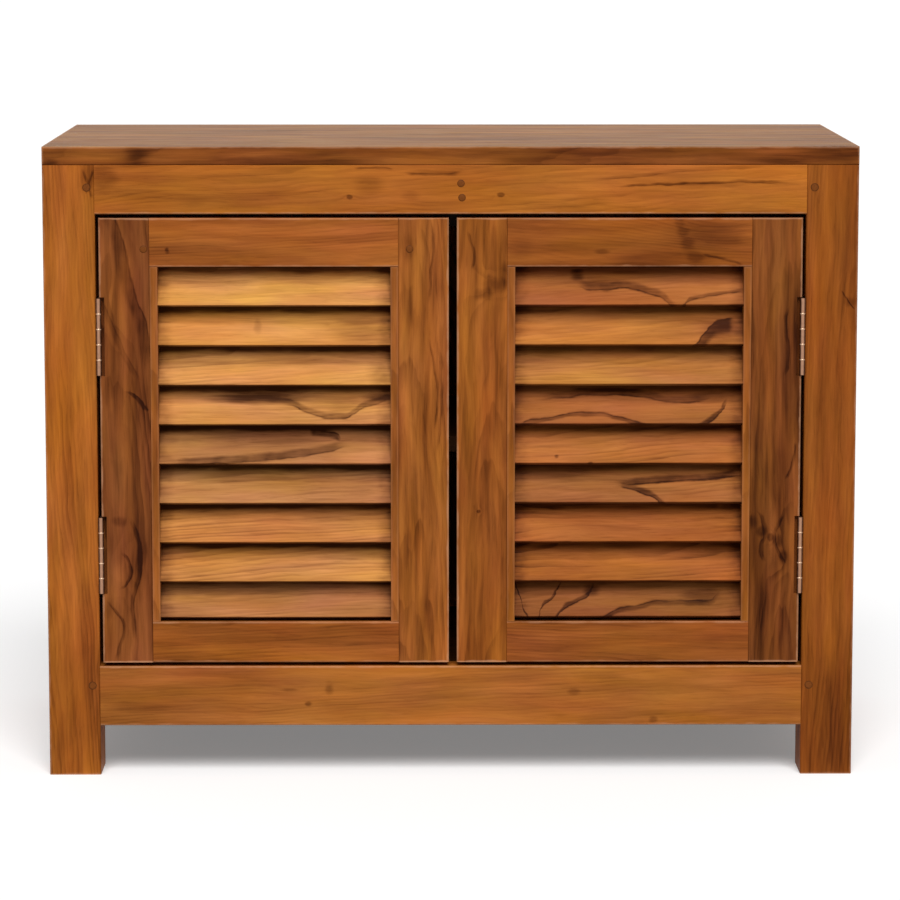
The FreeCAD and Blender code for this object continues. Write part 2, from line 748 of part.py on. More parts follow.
def make_door(side):
    """Make one door's rails, strips and slats, and put them in the case's front."""
    door = f"{side}_door"
    run = f"({DOOR_WIDTHS[side]} - 2 * stile_width)"
    span = f"({run} - 2 * strip_width)"
    # The left edges of the space between the stiles, and of the louvre opening.
    inner_left = f"({DOOR_LEFTS[side]} + stile_width)"
    louvre_left = f"({inner_left} + strip_width)"
    louvre_low = f"({DOOR_LOW} + door_bottom_rail_height)"

    for which, (rail_height, low) in DOOR_RAILS.items():
        name = f"{door}_{which}_rail"
        rail = make_door_rail(name, run, rail_height)
        place(rail, inner_left, FRONT, f"{DOOR_LOW} + {low}")
        keep(rail, name)

    for strip_side, x in (("left", inner_left), ("right", f"{louvre_left} + {span}")):
        edge = "hinge" if strip_side == side else "meeting"
        name = f"{door}_{edge}_strip"
        strip = make_strip(name, opens_towards_plus_x=strip_side == "left")
        place(strip, x, f"{FRONT} + strip_setback", louvre_low)
        keep(strip, name)

    first = f"{LOUVRE_HEIGHT} - first_slat_drop"
    heights = [f"({first} - {row} * {SLAT_PITCH})" for row in range(SLATS - 1)]
    heights.append("last_slat_rise")
    for number, height in enumerate(heights, start=1):
        name = f"{door}_slat_{number}"
        slat = make_slat(name, span)
        lean_slat(
            slat,
            f"{louvre_left} - housing_depth + joint_clearance",
            f"{FRONT} + {SLAT_SETBACK}",
            f"{louvre_low} + {height}",
        )
        keep(slat, name)


for side in ("left", "right"):
    make_door(side)

left_hinge_stile = make_stile("left_door_hinge_stile", hinged=True)
place(left_hinge_stile, DOOR_LEFTS["left"], FRONT, DOOR_LOW)
keep(left_hinge_stile, "left_door_hinge_stile")
keep(mirror(left_hinge_stile, "right_door_hinge_stile"), "right_door_hinge_stile")

right_meeting_stile = make_stile("right_door_meeting_stile", hinged=False)
place(right_meeting_stile, DOOR_LEFTS["right"], FRONT, DOOR_LOW)
keep(right_meeting_stile, "right_door_meeting_stile")
left_meeting_stile = mirror(right_meeting_stile, "left_door_meeting_stile", "meeting_offset")
keep(left_meeting_stile, "left_door_meeting_stile")


# ---------------------------------------------------------------------------
# Butt hinges: z runs up the pin, x towards the door, y into the case
# ---------------------------------------------------------------------------

KNUCKLE = f"(hinge_length / {KNUCKLES})"


def make_leaf(name, plate_x, knuckles):
    """Make a leaf: a plate on its own side of the pin, rolled into its share of the knuckles."""
    leaf = new_body(name)
    add_block(leaf, (plate_x, LEAF_FRONT, "0"), ("leaf_thickness", "leaf_width", "hinge_length"))
    for number in knuckles:
        # The outer ends of the first and last knuckles are flush with the plate.
        low = f"({number} * {KNUCKLE} + knuckle_gap / 2)" if number > 0 else "0"
        high = f"({number + 1} * {KNUCKLE} - knuckle_gap / 2)"
        if number == KNUCKLES - 1:
            high = "hinge_length"
        length = f"{high} - {low}"
        add_block(
            leaf,
            (plate_x, "0", low),
            ("leaf_thickness", f"{LEAF_FRONT} + leaf_thickness", length),
        )
        sketch = new_sketch(leaf, "XY_Plane", low)
        draw_circle(sketch, "0", "0", "barrel_diameter")
        knuckle = leaf.newObject("PartDesign::Pad", f"{name}_knuckle")
        knuckle.Profile = sketch
        bind(knuckle, Length=length)
    sketch = new_sketch(leaf, "XY_Plane", "0")
    draw_circle(sketch, "0", "0", "pin_diameter + 2 * pin_clearance")
    pin_bore = leaf.newObject("PartDesign::Pocket", f"{name}_pin_bore")
    pin_bore.Profile = sketch
    pin_bore.Reversed = True
    bind(pin_bore, Length="hinge_length")
    return leaf


def mirrored(pieces):
    """Make the right hinges' pieces from the left hinges'."""
    return [mirror(piece, f"right_{piece.Name}") for piece in pieces]


case_leaves = []
door_leaves = []
pins = []
for which, low in HINGES.items():
    base = f"{DOOR_LOW} + {low}"
    case_leaf = make_leaf(f"{which}_case_leaf", "-pin_offset", (0, 2, 4))
    door_leaf = make_leaf(
        f"{which}_door_leaf", "hinge_gap - pin_offset - leaf_thickness", (1, 3)
    )
    pin = document.addObject("Part::Cylinder", f"{which}_pin")
    bind(pin, Radius="pin_diameter / 2", Height="hinge_length")
    for piece, pieces in ((case_leaf, case_leaves), (door_leaf, door_leaves), (pin, pins)):
        place(piece, PIN_X, PIN_Y, base)
        pieces.append(piece)

group("left_case_hinge_leaves", case_leaves)
group("right_case_hinge_leaves", mirrored(case_leaves))
group("left_door_hinge_leaves", door_leaves)
group("right_door_hinge_leaves", mirrored(door_leaves))
group("hinge_pins", pins + mirrored(pins))


# ---------------------------------------------------------------------------
# Check every object, then write each sub-part to its own file
# ---------------------------------------------------------------------------

document.recompute()

for thing in document.Objects:
    if "Invalid" in thing.State or "Error" in thing.State:
        raise RuntimeError(f"{thing.Name} failed: {thing.State}")
    base = getattr(thing, "BaseFeature", None)
    if base is None or not hasattr(thing, "Profile"):
        continue
    growth = thing.Shape.Volume - base.Shape.Volume
    cuts = thing.TypeId == "PartDesign::Pocket"
    if (growth >= 0) if cuts else (growth <= 0):
        raise RuntimeError(f"{thing.Name} changes nothing")

os.makedirs("parts", exist_ok=True)
for sub_part in sub_parts:
    shape = sub_part.Shape
    if shape.isNull() or not shape.isValid():
        raise RuntimeError(f"{sub_part.Label} has no valid shape")
    shape.exportStep(f"parts/{sub_part.Label}.step")
print(f"{len(sub_parts)} sub-parts written")
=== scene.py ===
"""The finish of a louvred door cabinet: oiled teak, antiqued hinges, and a plain studio.

Metres, +Z up, the doors towards -Y.  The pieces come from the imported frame; this file
gives each its wood or metal, and adds the small pegs, rings and screws.
"""

import math

import bpy
import numpy as np
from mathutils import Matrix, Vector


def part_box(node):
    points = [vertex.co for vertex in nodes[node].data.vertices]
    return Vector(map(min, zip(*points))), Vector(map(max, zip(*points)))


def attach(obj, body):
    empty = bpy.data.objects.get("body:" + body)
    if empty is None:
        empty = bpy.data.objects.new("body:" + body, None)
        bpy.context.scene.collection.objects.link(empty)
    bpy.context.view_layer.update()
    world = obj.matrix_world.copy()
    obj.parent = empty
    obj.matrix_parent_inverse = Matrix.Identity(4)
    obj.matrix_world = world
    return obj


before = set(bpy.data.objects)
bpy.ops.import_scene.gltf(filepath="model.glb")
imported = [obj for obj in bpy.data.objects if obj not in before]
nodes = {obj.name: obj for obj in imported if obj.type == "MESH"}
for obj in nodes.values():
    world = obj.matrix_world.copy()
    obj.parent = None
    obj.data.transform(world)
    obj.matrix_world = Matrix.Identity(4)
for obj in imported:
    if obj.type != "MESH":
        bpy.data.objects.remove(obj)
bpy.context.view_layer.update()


# ---------------------------------------------------------------------------
# Legs.  Four square teak posts that carry the whole case.  Each is sawn from the
# solid with its grain running up it, planed, eased along its edges, and finished
# with oil and a thin satin varnish; its edges are painted pale, as wear and as a
# painted highlight.
# ---------------------------------------------------------------------------


def put(tree, kind, inputs=None, **settings):
    """Add a shader node; an input given as a socket is linked, any other is set."""
    made = tree.nodes.new("ShaderNode" + kind)
    for name, value in settings.items():
        setattr(made, name, value)
    for key, value in (inputs or {}).items():
        if isinstance(value, bpy.types.NodeSocket):
            tree.links.new(value, made.inputs[key])
        else:
            made.inputs[key].default_value = value
    return made


def sums(tree, operation, first, second=0.0, third=0.0):
    """Work out a Math node and return its output."""
    return put(tree, "Math", {0: first, 1: second, 2: third}, operation=operation).outputs[0]


def step(tree, value, low, high):
    """Rise smoothly from 0 at low to 1 at high: 3t^2 - 2t^3 of the clamped share t."""
    inputs = {"Value": value, "From Min": low, "From Max": high}
    return put(tree, "MapRange", inputs, interpolation_type="SMOOTHSTEP").outputs["Result"]


def vectors(tree, operation, first, second):
    """Work out a Vector Math node and return its vector."""
    return put(tree, "VectorMath", {0: first, 1: second}, operation=operation).outputs[0]


def scaled(tree, vector, factor):
    """Multiply a vector by a number and return it."""
    inputs = {0: vector, "Scale": factor}
    return put(tree, "VectorMath", inputs, operation="SCALE").outputs[0]


def split(tree, vector):
    """Split a vector; return its outputs "X", "Y" and "Z"."""
    return put(tree, "SeparateXYZ", {0: vector}).outputs


def cloud(tree, vector, lumps, detail=2.0, roughness=0.5):
    """Noise with so many lumps a metre along x, y and z; return the node's outputs."""
    spread = vectors(tree, "MULTIPLY", vector, lumps)
    inputs = {"Vector": spread, "Scale": 1.0, "Detail": detail, "Roughness": roughness}
    return put(tree, "TexNoise", inputs).outputs


def strayed(tree, vector, lumps, reach, detail=1.0):
    """Move a point by up to about half of reach, as a noise with so many lumps says."""
    aside = vectors(tree, "SUBTRACT", cloud(tree, vector, lumps, detail)["Color"], (0.5, 0.5, 0.5))
    return vectors(tree, "ADD", vector, scaled(tree, aside, reach))


def mixed(tree, share, first, second):
    """Mix two colours and return the colour."""
    inputs = {0: share, 6: first, 7: second}
    return put(tree, "Mix", inputs, data_type="RGBA").outputs[2]


def new_material(name):
    """Make a material; return it, its node tree and its Principled BSDF."""
    material = bpy.data.materials.new(name)
    material.use_nodes = True
    tree = material.node_tree
    return material, tree, tree.nodes["Principled BSDF"]


def roughen(tree, shader, height, strength, distance):
    """Let a height of 0 to 1 roughen a shader's surface, by so many metres."""
    inputs = {"Height": height, "Strength": strength, "Distance": distance}
    tree.links.new(put(tree, "Bump", inputs).outputs[0], shader.inputs["Normal"])


def new_group(name, inputs, outputs):
    """Make an empty shader node group; return its tree, its inputs and its outputs."""
    tree = bpy.data.node_groups.new(name, "ShaderNodeTree")
    for label, kind in inputs.items():
        tree.interface.new_socket(label, in_out="INPUT", socket_type="NodeSocket" + kind)
    for label, kind in outputs.items():
        tree.interface.new_socket(label, in_out="OUTPUT", socket_type="NodeSocket" + kind)
    entry = tree.nodes.new("NodeGroupInput")
    leave = tree.nodes.new("NodeGroupOutput")
    return tree, entry.outputs, leave.inputs


def colour(red, green, blue):
    """A colour from its display values of 0 to 255, as linear light with full opacity."""
    shares = np.array((red, green, blue)) / 255
    linear = np.where(shares <= 0.04045, shares / 12.92, ((shares + 0.055) / 1.055) ** 2.4)
    return (*linear.tolist(), 1.0)


# How far the hue noise moves the teak's red, green and blue.
HUE_REACH = (0.0, 0.4, 1.0)


def build_teak_grain():
    """Teak, with its grain along x and its pith along the x axis.

    Growth rings are shells round a wandering pith: ring = (distance to the pith + taper * x
    + swell) / ring size.  Each darkens slowly and ends sharply, by its own random strength.
    Broad tone, streaks, dark wisps, fibres and pores are noises, each stretched further along
    the grain.  All of them and Figure add up to a darkness, and a ramp turns that into a
    multiple of the board's tone, which another noise makes now redder and now yellower.
    """
    inputs = {
        "Vector": "Vector",
        "Swell": "Float",
        "Figure": "Float",
        "Tone": "Color",
        "Ring Size": "Float",
        "Taper": "Float",
        "Wander": "Float",
        "Rings": "Float",
        "Wisps": "Float",
        "Streaks": "Float",
    }
    outputs = {"Color": "Color", "Roughness": "Float", "Height": "Float"}
    tree, given, result = new_group("teak_grain", inputs, outputs)

    place = strayed(tree, given["Vector"], (5.0, 22.0, 22.0), given["Wander"], 1.5)
    place = strayed(tree, place, (24.0, 120.0, 120.0), 0.0032)

    apart = split(tree, place)
    squares = sums(tree, "MULTIPLY", apart["Y"], apart["Y"])
    squares = sums(tree, "MULTIPLY_ADD", apart["Z"], apart["Z"], squares)
    shell = sums(tree, "MULTIPLY_ADD", apart["X"], given["Taper"], sums(tree, "SQRT", squares))
    shell = sums(tree, "DIVIDE", sums(tree, "ADD", shell, given["Swell"]), given["Ring Size"])
    part = sums(tree, "FRACT", shell)
    line = sums(tree, "SUBTRACT", step(tree, part, 0.2, 0.9), step(tree, part, 0.92, 1.0))
    number = sums(tree, "FLOOR", shell)
    own = put(tree, "TexWhiteNoise", {"W": number}, noise_dimensions="1D").outputs["Value"]
    line = sums(tree, "MULTIPLY", line, sums(tree, "MULTIPLY_ADD", own, 0.85, 0.15))
    fade = step(tree, cloud(tree, place, (7.0, 30.0, 30.0), 1.0)["Fac"], 0.32, 0.66)
    line = sums(tree, "MULTIPLY", line, sums(tree, "MULTIPLY_ADD", fade, 0.8, 0.2))

    tone = sums(tree, "SUBTRACT", cloud(tree, place, (3.0, 15.0, 15.0), 4.0, 0.66)["Fac"], 0.5)
    streak = sums(tree, "SUBTRACT", cloud(tree, place, (7.0, 110.0, 110.0), 3.0)["Fac"], 0.5)
    wisp = step(tree, cloud(tree, place, (14.0, 240.0, 240.0), 2.0)["Fac"], 0.5, 0.78)
    fibre = sums(tree, "SUBTRACT", cloud(tree, place, (18.0, 700.0, 700.0), 2.0)["Fac"], 0.5)
    pore = step(tree, cloud(tree, place, (60.0, 1300.0, 1300.0), 1.0)["Fac"], 0.6, 0.7)

    weights = [
        (tone, 0.9),
        (sums(tree, "MULTIPLY", streak, given["Streaks"]), 1.4),
        (sums(tree, "MULTIPLY", wisp, given["Wisps"]), 0.3),
        (fibre, 0.25),
        (sums(tree, "MULTIPLY", line, given["Rings"]), 0.5),
        (pore, 0.07),
        (given["Figure"], 1.0),
    ]
    dark = 0.3
    for share, weight in weights:
        dark = sums(tree, "MULTIPLY_ADD", share, weight, dark)

    ramp = put(tree, "ValToRGB", {0: dark})
    stops = {
        0.0: (0.92, 0.97, 1.0),
        0.3: (0.625, 0.625, 0.625),
        0.6: (0.35, 0.32, 0.31),
        0.85: (0.15, 0.122, 0.112),
        1.0: (0.075, 0.054, 0.048),
    }
    elements = ramp.color_ramp.elements
    while len(elements) < len(stops):
        elements.new(0.5)
    for element, (at, gain) in zip(elements, stops.items()):
        element.position = at
        element.color = (*gain, 1.0)
    strong = scaled(tree, given["Tone"], 1.6)
    shade = vectors(tree, "MULTIPLY", strong, ramp.outputs["Color"])
    hue = vectors(tree, "SUBTRACT", cloud(tree, place, (9.0, 40.0, 40.0))["Color"], (0.5, 0.5, 0.5))
    hue = vectors(tree, "ADD", vectors(tree, "MULTIPLY", hue, HUE_REACH), (1.0, 1.0, 1.0))
    shade = vectors(tree, "MULTIPLY", shade, hue)

    tree.links.new(shade, result["Color"])
    tree.links.new(sums(tree, "MULTIPLY_ADD", fibre, 0.3, 0.44), result["Roughness"])
    height = sums(tree, "MULTIPLY_ADD", pore, -0.6, sums(tree, "MULTIPLY", fibre, 0.8))
    tree.links.new(sums(tree, "MULTIPLY_ADD", line, -0.3, height), result["Height"])
    return tree


def build_grain_bend():
    """The grain parts round a spot.

    With r the distance from the centre, each axis divided by its half size: Swell is
    exp(-r * r), Eye is 1 inside r = 0.3 and gone by r = 0.6, and Patch is 1 inside and ends
    in streaks about r = 1.
    """
    inputs = {"Vector": "Vector", "Centre": "Vector", "Size": "Vector"}
    outputs = {"Swell": "Float", "Eye": "Float", "Patch": "Float"}
    tree, given, result = new_group("grain_bend", inputs, outputs)
    place = strayed(tree, given["Vector"], (40.0, 160.0, 160.0), 0.004, 2.0)
    away = vectors(tree, "DIVIDE", vectors(tree, "SUBTRACT", place, given["Centre"]), given["Size"])
    length = put(tree, "VectorMath", {0: away}, operation="LENGTH").outputs["Value"]
    square = sums(tree, "MULTIPLY", length, length)
    tree.links.new(sums(tree, "EXPONENT", sums(tree, "MULTIPLY", square, -1.0)), result["Swell"])
    eye = sums(tree, "SUBTRACT", 1.0, step(tree, length, 0.3, 0.6))
    tree.links.new(eye, result["Eye"])
    ragged = cloud(tree, given["Vector"], (10.0, 110.0, 110.0), 2.0)["Fac"]
    reach = sums(tree, "MULTIPLY_ADD", ragged, 1.3, sums(tree, "SUBTRACT", length, 0.65))
    patch = sums(tree, "SUBTRACT", 1.0, step(tree, reach, 0.3, 1.15))
    tree.links.new(patch, result["Patch"])
    return tree


def build_dark_vein():
    """A dark vein along a line.

    Offset is the distance across the grain from the line, and Share the way along it from
    0 to 1.  The line itself is about 2 mm wide; to one side of it the darkness holds for half
    of Fade and has gone at an offset of Fade, which may be negative.  Its ends fade too.
    """
    inputs = {"Offset": "Float", "Share": "Float", "Fade": "Float"}
    tree, given, result = new_group("dark_vein", inputs, {"Mask": "Float"})
    core_half = 0.0017
    core = step(tree, sums(tree, "ABSOLUTE", given["Offset"]), 0.0001, core_half)
    core = sums(tree, "SUBTRACT", 1.0, core)
    reach = sums(tree, "DIVIDE", given["Offset"], given["Fade"])
    halo = sums(tree, "SUBTRACT", step(tree, reach, -0.1, 0.05), step(tree, reach, 0.5, 1.0))
    halo = sums(tree, "MAXIMUM", halo, 0.0)
    mask = sums(tree, "MULTIPLY_ADD", halo, 0.5, sums(tree, "MULTIPLY", core, 0.28))
    end = 0.15
    ends = step(tree, given["Share"], 1.0 - end, 1.0)
    ends = sums(tree, "SUBTRACT", step(tree, given["Share"], 0.0, end), ends)
    tree.links.new(sums(tree, "MULTIPLY", mask, ends), result["Mask"])
    return tree


def build_edge_wear_and_highlight():
    """Edges painted pale, as wear and as a painted highlight.

    With a, b and c the distances to the nearest faces of the piece's box, a point is on an
    edge where the two smallest of them add up to less than 1 or 2 mm.
    """
    inputs = {"Vector": "Vector", "Middle": "Vector", "Half": "Vector"}
    tree, given, result = new_group("edge_wear_and_highlight", inputs, {"Mask": "Float"})
    away = vectors(tree, "SUBTRACT", given["Vector"], given["Middle"])
    away = put(tree, "VectorMath", {0: away}, operation="ABSOLUTE").outputs[0]
    gaps = split(tree, vectors(tree, "SUBTRACT", given["Half"], away))
    total = sums(tree, "ADD", sums(tree, "ADD", gaps["X"], gaps["Y"]), gaps["Z"])
    most = sums(tree, "MAXIMUM", sums(tree, "MAXIMUM", gaps["X"], gaps["Y"]), gaps["Z"])
    near = sums(tree, "SUBTRACT", total, most)
    ragged = cloud(tree, given["Vector"], (55.0, 55.0, 55.0), 2.0)["Fac"]
    unevenness = 0.003
    near = sums(tree, "SUBTRACT", near, unevenness / 2)
    near = sums(tree, "MULTIPLY_ADD", ragged, unevenness, near)
    mask = sums(tree, "SUBTRACT", 1.0, step(tree, near, 0.0006, 0.0022))
    tree.links.new(mask, result["Mask"])
    return tree


TEAK_GRAIN = build_teak_grain()
GRAIN_BEND = build_grain_bend()
DARK_VEIN = build_dark_vein()
EDGE_WEAR_AND_HIGHLIGHT = build_edge_wear_and_highlight()

# For each way that grain can run: the turn that lays it along x.
GRAIN_TURNS = {
    "x": (0.0, 0.0, 0.0),
    "y": (0.0, 0.0, -math.pi / 2),
    "z": (0.0, math.pi / 2, 0.0),
}
GRAIN_VALUES = {
    "Ring Size": 0.0032,
    "Taper": 0.05,
    "Wander": 0.014,
    "Rings": 0.5,
    "Wisps": 0.3,
    "Streaks": 0.5,
}
# How far apart along the grain the boards are cut, so that no two are alike.
BOARD_SPACING = 3.7
# How deep below the front a knot, swell or patch reaches.
THROUGH = 0.06
# The pale of the edges: wear, and a painted highlight.
EDGE_WEAR_AND_HIGHLIGHT_TONE = colour(214, 160, 122)


def turned(point, along):
    """Turn a point with the grain: (x, y, z), (y, -x, z) or (z, y, -x)."""
    x, y, z = point
    return {"x": (x, y, z), "y": (y, -x, z), "z": (z, y, -x)}[along]


def bend(tree, grain_place, start, along, face, spot):
    """Place a grain bend at a spot (x, z, half width, half height), in mm, on a face."""
    x, z, half_x, half_z = (value / 1000 for value in spot)
    made = put(tree, "Group", node_tree=GRAIN_BEND)
    tree.links.new(grain_place, made.inputs["Vector"])
    centre = np.add(turned((x, face, z), along), start)
    made.inputs["Centre"].default_value = centre.tolist()
    made.inputs["Size"].default_value = np.abs(turned((half_x, THROUGH, half_z), along)).tolist()
    return made.outputs


def draw_vein(tree, place, along, strength, fade, points):
    """Draw a dark vein through points (x, z), in mm, and return its mask.

    A curve gives its place across the grain from its place along the grain.
    """
    ahead, across = (0, 1) if along == "x" else (1, 0)
    line = np.array(points) / 1000
    line = line[np.argsort(line[:, ahead])][:, [ahead, across]]
    low, high = line.min(axis=0), line.max(axis=0)
    shares = (line - low) / np.maximum(high - low, 1e-6)
    inputs = {"Value": place["XZ"[ahead]], "From Min": float(low[0]), "From Max": float(high[0])}
    share = put(tree, "MapRange", inputs).outputs["Result"]
    curve = put(tree, "FloatCurve", {"Value": share})
    dots = curve.mapping.curves[0].points
    while len(dots) < len(shares):
        dots.new(0.5, 0.5)
    for dot, where in zip(dots, shares.tolist()):
        dot.location = where
        dot.handle_type = "AUTO_CLAMPED"
    curve.mapping.update()
    span = float(high[1] - low[1])
    offset = sums(tree, "MULTIPLY_ADD", curve.outputs["Value"], span, float(low[1]))
    offset = sums(tree, "SUBTRACT", place["XZ"[across]], offset)
    made = put(tree, "Group", node_tree=DARK_VEIN)
    tree.links.new(offset, made.inputs["Offset"])
    tree.links.new(share, made.inputs["Share"])
    made.inputs["Fade"].default_value = fade / 1000
    return sums(tree, "MULTIPLY", made.outputs["Mask"], strength)


EYE_DARKNESS = 0.34
# How the darkened slat ends, gathered oil and painted shade, fade in and waver.
END_FADE = 0.012
END_UNEVENNESS = 0.02
# How the painted shade along a slat's lower edge fades, and how dark it is.
FOOT_FADE = 0.0014
FOOT_DARKNESS = 0.55
# How far beyond its box a buried side is put, so that no edge of it is painted pale.
BURIAL = 0.05
# What full painted light on the faces that look up adds to red, green and blue.
TOP_LIGHT_GAIN = (0.2, 0.7, 1.0)
# The painted shade on a slat under the one above it: the distances below its top at which
# the painted shade starts and is full, and how dark it is.
PAINTED_LAP_SHADES = ((0.0185, 0.0145, 0.18), (0.0072, 0.0028, 0.5))


def teak(piece, along, board, tone, pith=(0.06, 0.01), wear_and_highlight=0.5, buried=(), low=0.0,
         oiled_and_shaded_ends=0.0, painted_lap_shade=0.0, painted_foot_shade=0.0, painted_top_light=0.0, sheen=0.05, knots=(), swells=(),
         patches=(), veins=(), **grain_values):
    """Give a piece its teak: the way its grain runs, and the board that it was cut from.

    The pith lies pith[0] behind the piece's middle and pith[1] to one side of it.  Knots,
    swells, patches and veins are placed by (x, z) in mm on the front, with z from low.
    The next four say how dark the ends are, as gathered oil and painted shade; how strong the
    painted shade under the slat above is; how high the painted shade on the lower edge reaches;
    and how much painted light the faces that look up get.  Buried sides, as (axis, "low" or
    "high"), lie against other pieces and their edges are not painted pale; other edges are
    painted pale, as wear and as a painted highlight.
    """
    material, tree, shader = new_material("teak_" + piece)
    shader.inputs["Specular IOR Level"].default_value = sheen
    place = put(tree, "TexCoord").outputs["Object"]
    least, most = np.array(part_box(piece), dtype=float)
    middle = (least + most) / 2
    start = np.array((board * BOARD_SPACING, -pith[0], -pith[1])) - turned(middle, along)
    inputs = {"Vector": place, "Location": start.tolist(), "Rotation": GRAIN_TURNS[along]}
    grain_place = put(tree, "Mapping", inputs).outputs[0]
    grain = put(tree, "Group", node_tree=TEAK_GRAIN)
    tree.links.new(grain_place, grain.inputs["Vector"])
    for name, value in GRAIN_VALUES.items():
        given = name.lower().replace(" ", "_")
        grain.inputs[name].default_value = grain_values.get(given, value)
    grain.inputs["Tone"].default_value = colour(*tone)

    swell, figure = [], []
    for number, (x, z, half_x, half_z, push) in enumerate((*knots, *swells)):
        made = bend(tree, grain_place, start, along, least[1], (x, z + low, half_x, half_z))
        swell.append(sums(tree, "MULTIPLY", made["Swell"], push / 1000))
        if number < len(knots):
            figure.append(sums(tree, "MULTIPLY", made["Eye"], EYE_DARKNESS))
    for x, z, half_x, half_z, darkness in patches:
        made = bend(tree, grain_place, start, along, least[1], (x, z + low, half_x, half_z))
        figure.append(sums(tree, "MULTIPLY", made["Patch"], darkness))
    if veins:
        lumps = {"x": (60.0, 1.0, 200.0), "z": (200.0, 1.0, 60.0)}[along]
        astray = strayed(tree, place, lumps, 0.0035, 2.0)
        apart = split(tree, astray)
        drawn = 0.0
        for strength, fade, points in veins:
            points = [(x, z + low) for x, z in points]
            vein = draw_vein(tree, apart, along, strength, fade, points)
            drawn = sums(tree, "MAXIMUM", vein, drawn)
        uneven = cloud(tree, place, (50.0, 1.0, 50.0))["Fac"]
        uneven = sums(tree, "MULTIPLY_ADD", uneven, 1.4, 0.3)
        figure.append(sums(tree, "MULTIPLY", drawn, uneven))
    # Darker ends: gathered oil, and painted shade from the strips.
    if oiled_and_shaded_ends:
        end = sums(tree, "SUBTRACT", split(tree, place)["X"], float(middle[0]))
        end = sums(tree, "ABSOLUTE", end)
        ragged = cloud(tree, grain_place, (60.0, 90.0, 90.0))["Fac"]
        end = sums(tree, "MULTIPLY_ADD", ragged, END_UNEVENNESS, end)
        half = float(most[0] - middle[0])
        end = step(tree, end, half - END_FADE, half + END_FADE)
        figure.append(sums(tree, "MULTIPLY", end, oiled_and_shaded_ends))
    # Painted shade under the slat above.
    if painted_lap_shade:
        astray = strayed(tree, place, (22.0, 1.0, 60.0), 0.006, 2.0)
        height = split(tree, astray)["Z"]
        for low_edge, high_edge, darkness in PAINTED_LAP_SHADES:
            shaded = step(tree, height, float(most[2]) - low_edge, float(most[2]) - high_edge)
            figure.append(sums(tree, "MULTIPLY", shaded, darkness * painted_lap_shade))
    # Painted shade along the slat's lower edge.
    if painted_foot_shade:
        height = split(tree, place)["Z"]
        top = float(least[2]) + painted_foot_shade
        above = step(tree, height, top - FOOT_FADE, top)
        figure.append(sums(tree, "MULTIPLY_ADD", above, -FOOT_DARKNESS, FOOT_DARKNESS))
    for name, parts in (("Swell", swell), ("Figure", figure)):
        if parts:
            total = parts[0]
            for more in parts[1:]:
                total = sums(tree, "ADD", total, more)
            tree.links.new(total, grain.inputs[name])

    shade = grain.outputs["Color"]
    # Painted light on the faces that look up.
    if painted_top_light:
        lean = split(tree, put(tree, "NewGeometry").outputs["Normal"])["Z"]
        up = sums(tree, "MULTIPLY", step(tree, lean, 0.5, 0.9), painted_top_light)
        pale = vectors(tree, "ADD", scaled(tree, TOP_LIGHT_GAIN, up), (1.0, 1.0, 1.0))
        shade = vectors(tree, "MULTIPLY", shade, pale)
    # Edges painted pale: wear, and a painted highlight along them.
    if wear_and_highlight:
        for axis, side in buried:
            least[axis] -= BURIAL * (side == "low")
            most[axis] += BURIAL * (side == "high")
        edges = put(tree, "Group", node_tree=EDGE_WEAR_AND_HIGHLIGHT)
        tree.links.new(place, edges.inputs["Vector"])
        edges.inputs["Middle"].default_value = ((least + most) / 2).tolist()
        edges.inputs["Half"].default_value = ((most - least) / 2).tolist()
        wear_and_highlight_share = sums(tree, "MULTIPLY", edges.outputs["Mask"], wear_and_highlight)
        shade = mixed(tree, wear_and_highlight_share, shade, EDGE_WEAR_AND_HIGHLIGHT_TONE)
    tree.links.new(shade, shader.inputs["Base Color"])
    tree.links.new(grain.outputs["Roughness"], shader.inputs["Roughness"])
    roughen(tree, shader, grain.outputs["Height"], 0.25, 0.0003)
    for slot in nodes[piece].material_slots:
        slot.material = material


GOLDEN_TEAK = (172, 98, 36)
UMBER_TEAK = (149, 81, 28)

teak("front_left_leg", "z", 1, GOLDEN_TEAK, pith=(0.03, 0.07), streaks=0.45, wear_and_highlight=0.3,
     rings=0.35, wisps=0.15, buried=[(0, "high"), (2, "high")],
     knots=[(-354, 588, 4, 5, 3)],
     patches=[(-354, 600, 8, 16, 0.22), (-375, 420, 60, 130, -0.04), (-376, 90, 70, 130, 0.22)],
     veins=[(0.4, 3, [(-361, 606), (-358, 597), (-355, 588), (-352, 576)]),
            (0.4, -3, [(-348, 606), (-351, 597), (-354, 589), (-356, 580)])])
teak("front_right_leg", "z", 2, UMBER_TEAK, pith=(0.03, -0.07), streaks=0.5, wear_and_highlight=0.3,
     rings=0.35, wisps=0.15, buried=[(0, "low"), (2, "high")],
     patches=[(388, 52, 44, 92, 0.2), (382, 90, 70, 130, 0.14), (362, 330, 7, 120, 0.05),
              (380, 500, 60, 100, 0.05), (393, 474, 7, 6, 0.2)],
     veins=[(0.5, 2, [(383, 486), (388, 478), (393, 471), (398, 466)])])
teak("rear_left_leg", "z", 3, GOLDEN_TEAK, wear_and_highlight=0.3)
teak("rear_right_leg", "z", 4, UMBER_TEAK, wear_and_highlight=0.3)


# ---------------------------------------------------------------------------
# Rails.  Four top rails and four bottom rails, tenoned into the legs; their grain
# runs lengthwise, and the front ones show a few small knots.
# ---------------------------------------------------------------------------

RAIL_TEAK = (173, 100, 37)

